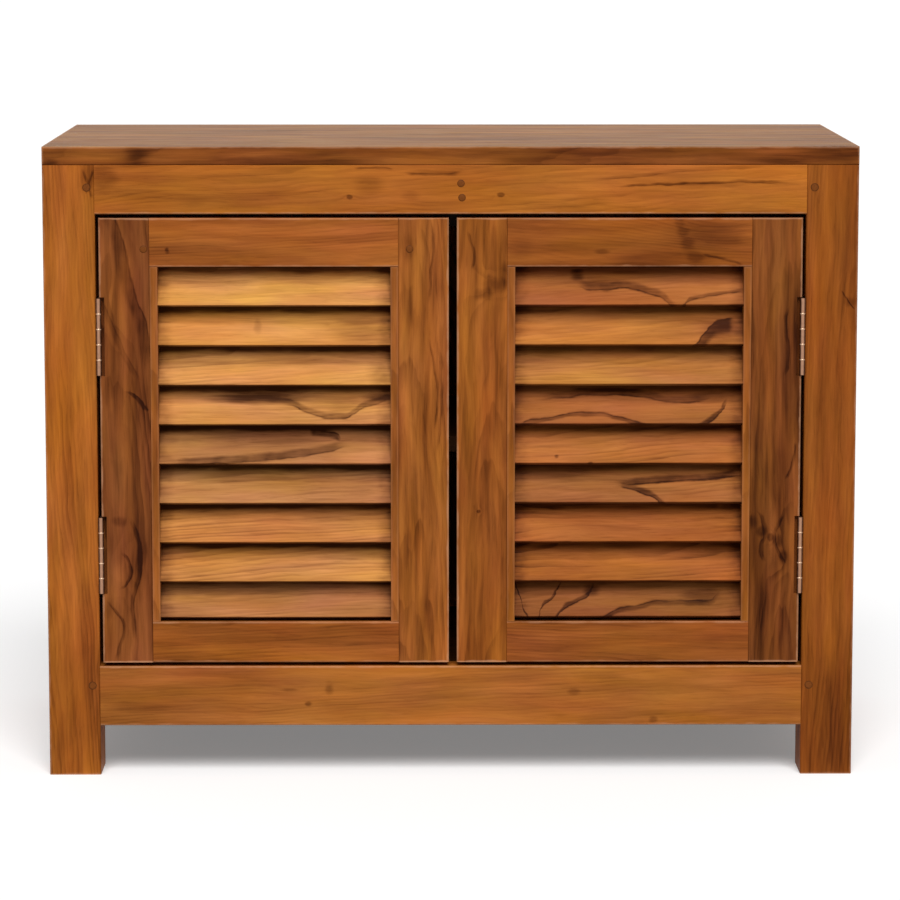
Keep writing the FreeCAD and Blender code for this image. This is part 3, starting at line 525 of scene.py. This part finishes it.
teak("front_top_rail", "x", 11, RAIL_TEAK, pith=(0.05, 0.05), streaks=0.35, wear_and_highlight=0.4, rings=0.3,
     wisps=0.1, buried=[(2, "high"), (0, "low"), (0, "high")],
     knots=[(-99, 578, 7, 5, 3), (49, 580, 8, 5, 4)],
     patches=[(-340, 598, 16, 16, 0.22), (-80, 590, 18, 12, 0.16), (-39, 579, 12, 6, 0.12),
              (-20, 602, 40, 3, 0.2), (128, 572, 30, 8, 0.12), (240, 590, 60, 4, 0.14)],
     veins=[(0.4, 2, [(-95, 605), (-75, 606), (-55, 604)]),
            (0.5, -3, [(-46, 602), (-30, 601), (-12, 601), (12, 602)]),
            (0.3, 4, [(140, 593), (192, 598), (222, 602), (260, 604), (312, 607)]),
            (0.6, 3, [(150, 586), (202, 589), (236, 590), (269, 591), (294, 592), (314, 591),
                      (345, 590)])])
teak("front_bottom_rail", "x", 12, (157, 92, 38), pith=(0.02, 0.07), streaks=0.4, wear_and_highlight=0.35,
     rings=0.3, wisps=0.1, buried=[(0, "low"), (0, "high")],
     patches=[(-121, 87, 6, 9, 0.26), (-142, 72, 4, 3, 0.35), (123, 84, 8, 5, 0.22),
              (202, 56, 5, 4, 0.25), (-160, 86, 12, 2, 0.2), (150, 100, 30, 5, 0.12)])
teak("rear_top_rail", "x", 13, RAIL_TEAK, wear_and_highlight=0.3)
teak("rear_bottom_rail", "x", 14, RAIL_TEAK, wear_and_highlight=0.3)
for board, side in enumerate(("left", "right"), 15):
    teak(f"{side}_side_top_rail", "y", board, RAIL_TEAK, wear_and_highlight=0.3)
    teak(f"{side}_side_bottom_rail", "y", board + 4, RAIL_TEAK, wear_and_highlight=0.3)


# ---------------------------------------------------------------------------
# Side panels and back panel.  Thin teak boards glued edge to edge, left loose in
# grooves in the legs and rails so that they can shrink and swell.
# ---------------------------------------------------------------------------

for board, panel in enumerate(("left_side_panel", "right_side_panel", "back_panel"), 21):
    teak(panel, "z", board, (150, 84, 33), wear_and_highlight=0.0, rings=0.7)


# ---------------------------------------------------------------------------
# Bottom panel, shelf and shelf rails.  Oiled teak boards inside the case, painted
# darker as shade, the shelf darkest; the shelf lies loose on a rail at each side.
# ---------------------------------------------------------------------------

# Darker than the outside teak, as painted shade.
SHADED_INSIDE_TEAK = (92, 52, 24)

teak("bottom_panel", "x", 31, SHADED_INSIDE_TEAK, wear_and_highlight=0.0)
teak("shelf", "x", 32, (58, 33, 16), wear_and_highlight=0.0)
for board, side in enumerate(("left", "right"), 33):
    teak(f"{side}_shelf_rail", "y", board, SHADED_INSIDE_TEAK, wear_and_highlight=0.0)


# ---------------------------------------------------------------------------
# Door stop.  A block of hardwood behind the top rail, where the two doors meet,
# painted nearly black as shade, so that it does not show in the gap.
# ---------------------------------------------------------------------------

teak("door_stop", "x", 36, (34, 20, 12), wear_and_highlight=0.0)


# ---------------------------------------------------------------------------
# Top panel.  One broad board laid over the rails and legs, of darker teak, with its
# grain along its length and its long edges slightly rounded; its upper face gets painted
# light.
# ---------------------------------------------------------------------------

teak("top_panel", "x", 41, (132, 72, 28), pith=(0.1, 0.02), streaks=0.85, wear_and_highlight=0.25,
     ring_size=0.004, rings=0.3, wisps=0.15, buried=[(2, "low")], painted_top_light=1.0,
     patches=[(-391, 611, 10, 4, 0.3), (-307, 617, 18, 12, 0.4), (-170, 614, 95, 7, 0.2),
              (-352, 616, 50, 12, -0.24), (-50, 615, 60, 10, -0.1), (60, 623, 90, 5, 0.12),
              (10, 613, 40, 6, -0.1), (212, 613, 45, 5, -0.1), (378, 617, 70, 14, 0.34)])


# ---------------------------------------------------------------------------
# Pegs.  Round teak dowels driven through the joints and cut off flush: four pin
# the case's corners, and two hold the door stop to the top rail.
# ---------------------------------------------------------------------------


def build_peg_end():
    """End grain of a dowel, from the distance to its middle: a rim of old glue and dirt."""
    inputs = {"Vector": "Vector", "Radius": "Float"}
    tree, given, result = new_group("peg_end", inputs, {"Color": "Color", "Height": "Float"})
    lumps = cloud(tree, given["Vector"], (260.0, 60.0, 260.0), 1.0)["Fac"]
    unevenness = 0.0016
    rim = sums(tree, "SUBTRACT", given["Radius"], unevenness / 2)
    rim = sums(tree, "MULTIPLY_ADD", lumps, unevenness, rim)
    rim = step(tree, rim, 0.0026, 0.0039)
    dots = cloud(tree, given["Vector"], (900.0, 60.0, 900.0), 2.0)["Fac"]
    tone = mixed(tree, dots, colour(138, 77, 30), colour(92, 49, 20))
    tone = mixed(tree, sums(tree, "MULTIPLY", rim, 0.7), tone, colour(62, 32, 12))
    tree.links.new(tone, result["Color"])
    tree.links.new(sums(tree, "SUBTRACT", sums(tree, "MULTIPLY", dots, 0.5), rim), result["Height"])
    return tree


PEG_END = build_peg_end()
# The case pegs' x, the height midway between them, and half of their spacing in height.
CASE_PEG_MIDDLES = (0.3565, 0.33875, 0.24825)


def case_peg_radius(tree, place):
    """The distance to the nearest case peg: they lie at (+-x, z +- height) on the front."""
    across, height, half_height = CASE_PEG_MIDDLES
    apart = split(tree, place)
    x = sums(tree, "SUBTRACT", sums(tree, "ABSOLUTE", apart["X"]), across)
    z = sums(tree, "ABSOLUTE", sums(tree, "SUBTRACT", apart["Z"], height))
    z = sums(tree, "SUBTRACT", z, half_height)
    square = sums(tree, "MULTIPLY_ADD", x, x, sums(tree, "MULTIPLY", z, z))
    return sums(tree, "SQRT", square)


def marked_radius(tree, place):
    """The distance to the peg's middle, kept on its mesh."""
    return put(tree, "Attribute", attribute_name="radius").outputs["Fac"]


def peg_finish(name, radius_from):
    """Make the pegs' finish; radius_from(tree, place) gives the distance to the middle."""
    material, tree, shader = new_material(name)
    shader.inputs["Specular IOR Level"].default_value = 0.05
    shader.inputs["Roughness"].default_value = 0.5
    place = put(tree, "TexCoord").outputs["Object"]
    made = put(tree, "Group", node_tree=PEG_END)
    tree.links.new(place, made.inputs["Vector"])
    tree.links.new(radius_from(tree, place), made.inputs["Radius"])
    tree.links.new(made.outputs["Color"], shader.inputs["Base Color"])
    roughen(tree, shader, made.outputs["Height"], 0.4, 0.0004)
    return material


# For each way that a turned piece can point: its sideways, lengthwise and upright directions.
TURNED_WAYS = {
    "+x": ((0, -1, 0), (1, 0, 0), (0, 0, 1)),
    "-x": ((0, 1, 0), (-1, 0, 0), (0, 0, 1)),
    "+y": ((1, 0, 0), (0, 1, 0), (0, 0, 1)),
    "+z": ((1, 0, 0), (0, 0, 1), (0, -1, 0)),
}


def add_turned(name, middles, profile, sides, finish, way="+y"):
    """Turn one profile about an axis through each middle, as one mesh.

    Point (i, j) is the middle plus r_i cos a_j sideways, d_i lengthwise and r_i sin a_j
    upright, with (r_i, d_i) down the profile and a_j round the axis.  The mesh keeps each
    point's r_i as "radius" and its r_i sin a_j as "rise".
    """
    radii, depths = np.array(profile).T
    angles = np.arange(sides) * math.tau / sides
    rise = radii[:, None] * np.sin(angles)
    ring = np.stack((
        radii[:, None] * np.cos(angles),
        np.repeat(depths[:, None], sides, axis=1),
        rise,
    ), axis=-1) @ np.array(TURNED_WAYS[way], dtype=float)
    points = (np.array(middles)[:, None, None, :] + ring).reshape(-1, 3)
    rows, columns = np.meshgrid(np.arange(len(radii) - 1), np.arange(sides), indexing="ij")
    after = (columns + 1) % sides
    quads = np.stack((rows * sides + columns, (rows + 1) * sides + columns,
                      (rows + 1) * sides + after, rows * sides + after), axis=-1).reshape(-1, 4)
    shifts = np.arange(len(middles)) * len(radii) * sides
    faces = (quads[None] + shifts[:, None, None]).reshape(-1, 4)
    mesh = bpy.data.meshes.new(name)
    mesh.from_pydata(points.tolist(), [], faces.tolist())
    for mark, values in (("radius", np.repeat(radii, sides)), ("rise", rise.ravel())):
        marks = mesh.attributes.new(mark, "FLOAT", "POINT")
        marks.data.foreach_set("value", np.tile(values, len(middles)))
    mesh.shade_smooth()
    mesh.materials.append(finish)
    made = bpy.data.objects.new(name, mesh)
    bpy.context.scene.collection.objects.link(made)
    return made


case_peg_finish = peg_finish("case_peg_end_grain", case_peg_radius)
for slot in nodes["case_pegs"].material_slots:
    slot.material = case_peg_finish

PEG_PROFILE = [
    (0.0001, -0.0004),
    (0.0015, -0.00037),
    (0.0029, -0.00022),
    (0.0037, 0.0),
    (0.004, 0.0004),
    (0.004, 0.004),
]
PEG_SIDES = 24
STOP_PEG_PLACES = ((0.010, 0.591), (0.011, 0.577))

peg_end_finish = peg_finish("peg_end_grain", marked_radius)
rail_face = float(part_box("front_top_rail")[0][1])
middles = [(x, rail_face, z) for x, z in STOP_PEG_PLACES]
stop_pegs = add_turned("stop_peg_ends", middles, PEG_PROFILE, PEG_SIDES, peg_end_finish)
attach(stop_pegs, "case")


# ---------------------------------------------------------------------------
# Door frames.  Two stiles and two rails to each door, mortised and tenoned; the hinge
# stiles were cut from darker boards, and the left door's upper joints are pegged.
# ---------------------------------------------------------------------------

teak("left_door_hinge_stile", "z", 51, (132, 73, 34), pith=(0.03, 0.012), streaks=0.8, wear_and_highlight=0.5,
     buried=[(0, "high")], rings=0.6, wisps=0.4,
     swells=[(-322, 212, 18, 36, 9), (-322, 470, 16, 60, 5)],
     patches=[(-318, 400, 26, 60, 0.12), (-329, 256, 8, 6, 0.24), (-300, 480, 12, 60, 0.08),
              (-329, 204, 8, 16, -0.12), (-338, 500, 8, 40, -0.12), (-318, 226, 24, 44, 0.12),
              (-338, 168, 12, 14, 0.14), (-298, 200, 6, 60, 0.08)],
     veins=[(0.55, -14, [(-336, 580), (-329, 557), (-321, 534), (-317, 512), (-313, 495),
                         (-308, 475), (-299, 453), (-295, 425), (-293, 405)]),
            (0.3, -7, [(-344, 482), (-331, 450), (-318, 420), (-305, 396)]),
            (0.6, -7, [(-317, 387), (-307, 379), (-297, 366)]),
            (0.6, -5, [(-322, 262), (-314, 256), (-309, 241), (-306, 224), (-307, 204),
                       (-311, 188), (-314, 171), (-313, 151), (-310, 131)]),
            (0.6, -4, [(-325, 226), (-319, 218), (-316, 206), (-320, 194), (-329, 186)]),
            (0.6, 4, [(-343, 177), (-333, 164), (-326, 148), (-330, 131), (-334, 116)])])
teak("left_door_meeting_stile", "z", 52, (153, 87, 36), pith=(0.05, 0.02), streaks=0.9, wear_and_highlight=0.5,
     buried=[(0, "low")], rings=0.5, wisps=0.5,
     patches=[(-42, 528, 9, 18, 0.2), (-15, 460, 8, 30, -0.16), (-46, 460, 6, 60, 0.12)],
     veins=[(0.4, 3, [(-19, 557), (-18, 530), (-21, 500), (-22, 470)]),
            (0.45, 3, [(-23, 440), (-17, 410), (-14, 380), (-17, 345)]),
            (0.4, -3, [(-12, 432), (-8, 402), (-9, 362), (-13, 322)])])
teak("left_door_top_rail", "x", 53, (156, 87, 35), pith=(0.02, 0.06), streaks=0.5, wear_and_highlight=0.35,
     rings=0.35, wisps=0.15, buried=[(0, "low"), (0, "high")],
     patches=[(-278, 526, 3, 4, 0.35), (-130, 549, 26, 3, -0.12), (-40, 540, 10, 16, 0.1)])
teak("left_door_bottom_rail", "x", 54, (154, 85, 33), pith=(0.02, 0.06), streaks=0.5, wear_and_highlight=0.3,
     rings=0.4, buried=[(0, "low"), (0, "high")])
teak("right_door_hinge_stile", "z", 55, (122, 67, 28), pith=(0.03, -0.01), streaks=1.2, wear_and_highlight=0.5,
     buried=[(0, "low")], rings=0.5, wisps=0.5, knots=[(317, 240, 8, 9, 8)],
     swells=[(326, 215, 12, 16, 5)],
     patches=[(341, 470, 6, 55, 0.2), (334, 378, 9, 44, 0.16), (308, 246, 6, 6, 0.3),
              (300, 256, 5, 9, 0.2), (323, 236, 5, 8, 0.3), (330, 220, 6, 7, 0.3),
              (310, 512, 8, 40, -0.15), (322, 300, 8, 40, 0.12)],
     veins=[(0.5, -4, [(333, 470), (331, 450), (334, 425), (330, 400)]),
            (0.6, 3, [(340, 335), (338, 318), (333, 303), (331, 297)]),
            (0.5, 4, [(301, 268), (308, 256), (310, 242), (306, 230), (310, 214)]),
            (0.5, -4, [(331, 264), (326, 252), (322, 240), (326, 226), (333, 212)])])
teak("right_door_meeting_stile", "z", 56, (149, 83, 31), pith=(0.05, -0.02), streaks=0.9, wear_and_highlight=0.5,
     buried=[(0, "high")], rings=0.4, wisps=0.35, knots=[(28, 266, 4, 4, 2)],
     swells=[(40, 490, 20, 14, 8)],
     patches=[(36, 524, 24, 36, 0.12), (33, 482, 11, 7, 0.3), (45, 491, 15, 9, 0.3),
              (57, 501, 12, 15, 0.3), (53, 300, 6, 160, 0.15), (20, 420, 14, 60, -0.1)],
     veins=[(0.4, -3, [(17, 545), (20, 535), (24, 520), (22, 505)])])
teak("right_door_top_rail", "x", 57, (136, 73, 27), pith=(0.02, -0.06), streaks=0.5, wear_and_highlight=0.35,
     rings=0.35, wisps=0.15, buried=[(0, "low"), (0, "high")],
     swells=[(255, 550, 50, 24, 10), (120, 512, 40, 14, 6)],
     patches=[(224, 552, 6, 8, 0.2), (228, 542, 8, 9, 0.22), (233, 531, 9, 9, 0.22),
              (240, 519, 9, 9, 0.2), (252, 540, 50, 20, 0.34), (212, 515, 60, 12, 0.3),
              (148, 524, 9, 3, 0.3), (293, 538, 12, 9, -0.12), (70, 530, 14, 16, 0.1)],
     veins=[(0.5, 3, [(246, 521), (257, 518), (270, 515), (288, 510)])])
teak("right_door_bottom_rail", "x", 58, (144, 79, 32), pith=(0.02, -0.06), streaks=0.5, wear_and_highlight=0.3,
     rings=0.4, buried=[(0, "low"), (0, "high")])

DOOR_PEG_DROP = 0.0305
DOOR_PEG_PLACES = (-0.3015, -0.0405)

door_low, door_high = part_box("left_door_top_rail")
peg_height = float(door_high[2]) - DOOR_PEG_DROP
middles = [(x, float(door_low[1]), peg_height) for x in DOOR_PEG_PLACES]
door_pegs = add_turned("left_door_pegs", middles, PEG_PROFILE, PEG_SIDES, peg_end_finish)
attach(door_pegs, "left_door")


# ---------------------------------------------------------------------------
# Louvres.  Nine thin slats to each door, housed aslant in a strip at each side; they
# were sawn from paler, more figured boards, and their ends are darker, as gathered oil
# and as painted shade from the strips.  Each slat also gets painted shade under the slat
# above it and along its lower edge.
# ---------------------------------------------------------------------------

for board, side in enumerate(("left", "right"), 61):
    for part in ("hinge_strip", "meeting_strip"):
        teak(f"{side}_door_{part}", "z", board, (148, 84, 34), wear_and_highlight=0.08)

HONEY = (210, 144, 76)
FAWN = (182, 123, 70)
RUSSET = (172, 98, 44)

SLATS = {
    "left": [
        dict(tone=HONEY, patches=[(-260, 24, 60, 8, 0.15)]),
        dict(tone=(198, 131, 65), patches=[(-88, 14, 30, 14, 0.16), (-190, 20, 5, 9, 0.16)]),
        dict(tone=(208, 143, 78), rings=0.4,
             patches=[(-70, 12, 14, 16, 0.16), (-272, 24, 34, 10, 0.14), (-160, 23, 70, 5, 0.12)]),
        dict(tone=(196, 132, 74),
             patches=[(-190, 27, 64, 7, 0.5), (-70, 27, 20, 6, 0.35), (-105, 19, 24, 8, 0.12)],
             veins=[(0.6, 7, [(-169, 21), (-157, 19), (-145, 14), (-133, 10), (-117, 7), (-107, 7),
                              (-96, 11), (-86, 17), (-76, 20), (-60, 26)])]),
        dict(tone=(170, 111, 66), patches=[(-190, 24, 90, 16, 0.18), (-75, 8, 40, 8, -0.15)],
             veins=[(0.75, 9, [(-290, -3), (-248, 1), (-210, 3), (-173, 6), (-153, 8),
                               (-133, 11), (-117, 14), (-107, 17), (-94, 19)]),
                    (0.8, -7, [(-140, 34), (-121, 32), (-113, 30), (-109, 25), (-108, 19)])]),
        dict(tone=FAWN, rings=0.4),
        dict(tone=(196, 126, 64), rings=0.6, pith=(0.012, 0.012)),
        dict(tone=(198, 132, 68), rings=0.5),
        dict(tone=(172, 112, 64), rings=0.4),
    ],
    "right": [
        dict(tone=(162, 94, 46), patches=[(145, 22, 34, 7, 0.2), (125, 30, 9, 6, 0.4)],
             veins=[(0.75, 9, [(124, 21), (138, 16), (154, 16), (169, 18), (181, 16), (197, 12),
                               (207, 9), (217, 0), (226, -10)]),
                    (0.75, 4, [(220, -10), (230, 0), (235, 6), (248, 9), (268, 12), (290, 15)])]),
        dict(tone=(178, 108, 51), patches=[(266, 12, 22, 16, 0.22), (290, 20, 12, 18, 0.12)],
             veins=[(0.75, -16, [(230, -8), (239, 0), (247, 9), (254, 17), (262, 24),
                                 (272, 26), (280, 27)])]),
        dict(tone=(174, 111, 54), rings=0.4, patches=[(90, 24, 40, 10, 0.14)]),
        dict(tone=(162, 95, 47), patches=[(258, 27, 22, 6, 0.2)],
             veins=[(0.6, 8, [(82, 24), (98, 25), (118, 27), (138, 29), (161, 29), (181, 28),
                               (197, 26), (229, 22), (245, 23), (256, 26), (264, 30)]),
                    (0.7, -5, [(56, 0), (70, 3), (78, 6), (94, 8), (110, 11), (124, 13),
                               (147, 13), (161, 10), (175, 7), (185, 4), (197, 1), (207, -4)]),
                    (0.85, 7, [(240, -6), (250, 0), (260, 6), (266, 11), (270, 17), (273, 22),
                               (274, 32)])]),
        dict(tone=(176, 105, 50), rings=0.6, patches=[(105, 9, 3, 2, 0.4), (138, 2, 3, 2, 0.4)]),
        dict(tone=(160, 97, 49), patches=[(100, 30, 60, 6, 0.2)],
             veins=[(0.8, 7, [(165, 17), (177, 15), (189, 11), (201, 6), (208, 0), (215, -6)]),
                    (0.85, 8, [(160, 16), (169, 17), (197, 20), (227, 22), (256, 23), (290, 28)])]),
        dict(tone=RUSSET, rings=0.5),
        dict(tone=RUSSET, rings=0.5),
        dict(tone=(142, 83, 41), patches=[(140, 26, 10, 6, 0.4), (250, 23, 24, 7, 0.3)],
             veins=[(0.8, 3, [(63, 36), (66, 27), (70, 18), (72, 8), (76, 2), (80, -6)]),
                    (0.8, 4, [(84, -6), (88, 2), (90, 10), (100, 18), (108, 30), (111, 38)]),
                    (0.8, 5, [(101, -7), (106, 1), (112, 9), (128, 16), (138, 22), (141, 28),
                              (144, 36)]),
                    (0.75, -6, [(140, -3), (155, 4), (167, 10), (187, 13), (209, 17), (227, 17),
                                (256, 17), (264, 22), (270, 30)])]),
    ],
}
# For each door: the board before its first slat's, how strong the painted shade under the
# slat above is, and how high the painted shade along the slats' lower edges reaches.
SLAT_VALUES = {"left": (70, 1.0, 0.0026), "right": (80, 0.65, 0.0034)}
for side, slats in SLATS.items():
    board_before, painted_lap_shade, painted_foot_shade = SLAT_VALUES[side]
    for number, made in enumerate(slats, 1):
        slat = f"{side}_door_slat_{number}"
        bottom = float(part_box(slat)[0][2]) * 1000
        values = dict(pith=(0.03, 0.01), wear_and_highlight=0.0, low=bottom, oiled_and_shaded_ends=0.35, painted_lap_shade=painted_lap_shade,
                      painted_foot_shade=painted_foot_shade, sheen=0.02, rings=0.25, streaks=0.25, wisps=0.15)
        values.update(made)
        teak(slat, "x", board_before + number, **values)


# ---------------------------------------------------------------------------
# Hinges.  Two steel butt hinges to each door, plated and antiqued to a brown brass, with
# a bright ring at each joint of the barrel and three slotted screws to each leaf; a painted
# highlight runs down the front of each barrel.
# ---------------------------------------------------------------------------


def build_antique_plating():
    """Plating that has dulled to brown, in small uneven specks; brighter where the given
    share is 1, where it is rubbed, and on the barrels where a highlight is painted.
    """
    inputs = {"Vector": "Vector", "Bright Share": "Float", "Bright": "Color", "Dull": "Color"}
    outputs = {"Color": "Color", "Roughness": "Float", "Height": "Float"}
    tree, given, result = new_group("antique_plating", inputs, outputs)
    patina = cloud(tree, given["Vector"], (900.0, 900.0, 240.0), 3.0)["Fac"]
    share = sums(tree, "MULTIPLY_ADD", patina, 0.8, sums(tree, "SUBTRACT", given["Bright Share"], 0.4))
    tree.links.new(mixed(tree, share, given["Dull"], given["Bright"]), result["Color"])
    tree.links.new(sums(tree, "MULTIPLY_ADD", patina, 0.25, 0.24), result["Roughness"])
    tree.links.new(patina, result["Height"])
    return tree


ANTIQUE_PLATING = build_antique_plating()
HINGE_DULL = colour(78, 50, 36)


def plated(name, bright, bright_share_from):
    """Make a plated finish; the given function says where it is brighter: where it is
    rubbed, and on the barrels where a highlight is painted.
    """
    material, tree, shader = new_material(name)
    shader.inputs["Metallic"].default_value = 1.0
    place = put(tree, "TexCoord").outputs["Object"]
    made = put(tree, "Group", node_tree=ANTIQUE_PLATING)
    tree.links.new(place, made.inputs["Vector"])
    tree.links.new(bright_share_from(tree, place), made.inputs["Bright Share"])
    made.inputs["Bright"].default_value = bright
    made.inputs["Dull"].default_value = HINGE_DULL
    tree.links.new(made.outputs["Color"], shader.inputs["Base Color"])
    tree.links.new(made.outputs["Roughness"], shader.inputs["Roughness"])
    roughen(tree, shader, made.outputs["Height"], 0.2, 0.0002)
    return material


def barrel_highlight(tree, place):
    """A painted highlight: 1 down the middle of a barrel's front, which stands at x = +-PIN_X,
    and 0 beside it.
    """
    away = split(tree, place)["X"]
    away = sums(tree, "SUBTRACT", sums(tree, "ABSOLUTE", away), PIN_X)
    return sums(tree, "SUBTRACT", 1.0, step(tree, sums(tree, "ABSOLUTE", away), 0.0006, 0.0022))


def ring_face(tree, place):
    """1 on the round of a ring, and less towards its upper and lower edges."""
    radius = put(tree, "Attribute", attribute_name="radius").outputs["Fac"]
    return step(tree, radius, 0.0025, RING_RADIUS)


def beside_slot(tree, place):
    """1 on a screw's head, and 0 in the slot across it."""
    rise = put(tree, "Attribute", attribute_name="rise").outputs["Fac"]
    return step(tree, sums(tree, "ABSOLUTE", rise), 0.00025, 0.0005)


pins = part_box("hinge_pins")
PIN_RADIUS = 0.0011
PIN_X = float(pins[1][0]) - PIN_RADIUS
PIN_Y = float(pins[0][1] + pins[1][1]) / 2
HINGE_MIDDLES = (0.222, 0.44)
KNUCKLE_LENGTH = 0.0152
RING_RADIUS = 0.0028
RING_PROFILE = [
    (0.0024, -0.0008),
    (0.00275, -0.0006),
    (RING_RADIUS, 0.0),
    (0.00275, 0.0006),
    (0.0024, 0.0008),
]
RING_SIDES = 20

barrel_finish = plated("antiqued_barrel", colour(172, 130, 104), barrel_highlight)
for name in nodes:
    if "hinge_leaves" in name or name == "hinge_pins":
        for slot in nodes[name].material_slots:
            slot.material = barrel_finish

ring_finish = plated("bright_ring", colour(198, 166, 138), ring_face)
joints = [z + KNUCKLE_LENGTH * turn for z in HINGE_MIDDLES for turn in (-1.5, -0.5, 0.5, 1.5)]
middles = [(x, PIN_Y, z) for x in (-PIN_X, PIN_X) for z in joints]
rings = add_turned("hinge_rings", middles, RING_PROFILE, RING_SIDES, ring_finish, "+z")
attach(rings, "case")

SCREW_SPACING = 0.026
SCREW_SETBACK = 0.012
SCREW_PROFILE = [
    (0.0001, -0.00015),
    (0.0022, -0.00015),
    (0.0026, 0.00005),
    (0.0026, 0.0008),
]
SCREW_SIDES = 16
screw_finish = plated("antiqued_screw", colour(176, 134, 100), beside_slot)
LEAF_THICKNESS = 0.0013
# A leaf lies on the wood of this piece, and its screws go into the wood this way.
SCREW_WAYS = {
    ("left", "case"): ("front_left_leg", "-x"),
    ("left", "door"): ("left_door_hinge_stile", "+x"),
    ("right", "case"): ("front_right_leg", "+x"),
    ("right", "door"): ("right_door_hinge_stile", "-x"),
}
for (side, carrier), (wood, way) in SCREW_WAYS.items():
    low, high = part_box(wood)
    face = high[0] + LEAF_THICKNESS if way == "-x" else low[0] - LEAF_THICKNESS
    middles = [(float(face), PIN_Y + SCREW_SETBACK, z + SCREW_SPACING * turn)
               for z in HINGE_MIDDLES for turn in (-1, 0, 1)]
    name = f"{side}_{carrier}_hinge_screws"
    screws = add_turned(name, middles, SCREW_PROFILE, SCREW_SIDES, screw_finish, way)
    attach(screws, "case" if carrier == "case" else f"{side}_door")


# ---------------------------------------------------------------------------
# Studio.  A pale floor without an end, one soft key light high in front, and an
# even white room.
# ---------------------------------------------------------------------------

KEY_ELEVATION = 47.0
KEY_AZIMUTH = 3.0
KEY_STRENGTH = 0.88
KEY_WIDTH = 36.0
ROOM_STRENGTH = 0.26
FLOOR_HALF = 40.0
FLOOR_TONE = 0.62
FLOOR_SEEN = 0.95
FLOOR_GLOW = 0.2

floor_mesh = bpy.data.meshes.new("floor")
corners = [(x * FLOOR_HALF, y * FLOOR_HALF, 0.0) for x, y in ((-1, -1), (1, -1), (1, 1), (-1, 1))]
floor_mesh.from_pydata(corners, [], [(0, 1, 2, 3)])
floor = bpy.data.objects.new("floor", floor_mesh)
bpy.context.scene.collection.objects.link(floor)


def seen_directly(tree):
    """1 for rays from the camera and for those that gloss or glass sends on, else 0."""
    path = put(tree, "LightPath").outputs
    mirrored = sums(tree, "MAXIMUM", path["Is Glossy Ray"], path["Is Transmission Ray"])
    return sums(tree, "MAXIMUM", path["Is Camera Ray"], mirrored)


floor_paint = bpy.data.materials.new("pale_floor")
floor_paint.use_nodes = True
tree = floor_paint.node_tree
tree.nodes.clear()
seen = seen_directly(tree)
tone = sums(tree, "MULTIPLY_ADD", seen, FLOOR_SEEN - FLOOR_TONE, FLOOR_TONE)
matt = put(tree, "BsdfDiffuse", {"Color": tone}).outputs[0]
glow = put(tree, "Emission", {"Strength": sums(tree, "MULTIPLY", seen, FLOOR_GLOW)}).outputs[0]
put(tree, "OutputMaterial", {"Surface": put(tree, "AddShader", {0: matt, 1: glow}).outputs[0]})
floor.data.materials.append(floor_paint)

world = bpy.data.worlds.new("white_room")
bpy.context.scene.world = world
world.use_nodes = True
tree = world.node_tree
tree.nodes.clear()
strength = sums(tree, "MULTIPLY_ADD", seen_directly(tree), 1.0 - ROOM_STRENGTH, ROOM_STRENGTH)
room = put(tree, "Background", {"Color": (1.0, 1.0, 1.0, 1.0), "Strength": strength}).outputs[0]
put(tree, "OutputWorld", {"Surface": room})

key_light = bpy.data.lights.new("key_light", "SUN")
key_light.energy = KEY_STRENGTH * math.pi
key_light.angle = math.radians(KEY_WIDTH)
key = bpy.data.objects.new("key_light", key_light)
key.rotation_euler = (math.radians(90 - KEY_ELEVATION), 0.0, math.radians(KEY_AZIMUTH))
bpy.context.scene.collection.objects.link(key)


# ---------------------------------------------------------------------------
# Camera.  A long lens in front of the doors and a little above the top, looking
# slightly down; its shift keeps the cabinet in the middle of the frame.
# ---------------------------------------------------------------------------

CAMERA_PLACE = (-0.0228, -3.787, 0.8613)
CAMERA_PITCH = 7.31
CAMERA_YAW = 0.35
CAMERA_LENS = 147.5
CAMERA_SHIFT = -0.08

camera_data = bpy.data.cameras.new("camera")
camera_data.lens = CAMERA_LENS
camera_data.sensor_width = 36.0
camera_data.shift_y = CAMERA_SHIFT
camera = bpy.data.objects.new("camera", camera_data)
camera.location = CAMERA_PLACE
camera.rotation_euler = (math.radians(90 - CAMERA_PITCH), 0.0, math.radians(-CAMERA_YAW))
bpy.context.scene.collection.objects.link(camera)
bpy.context.scene.camera = camera
bpy.context.scene.view_settings.view_transform = "Standard"
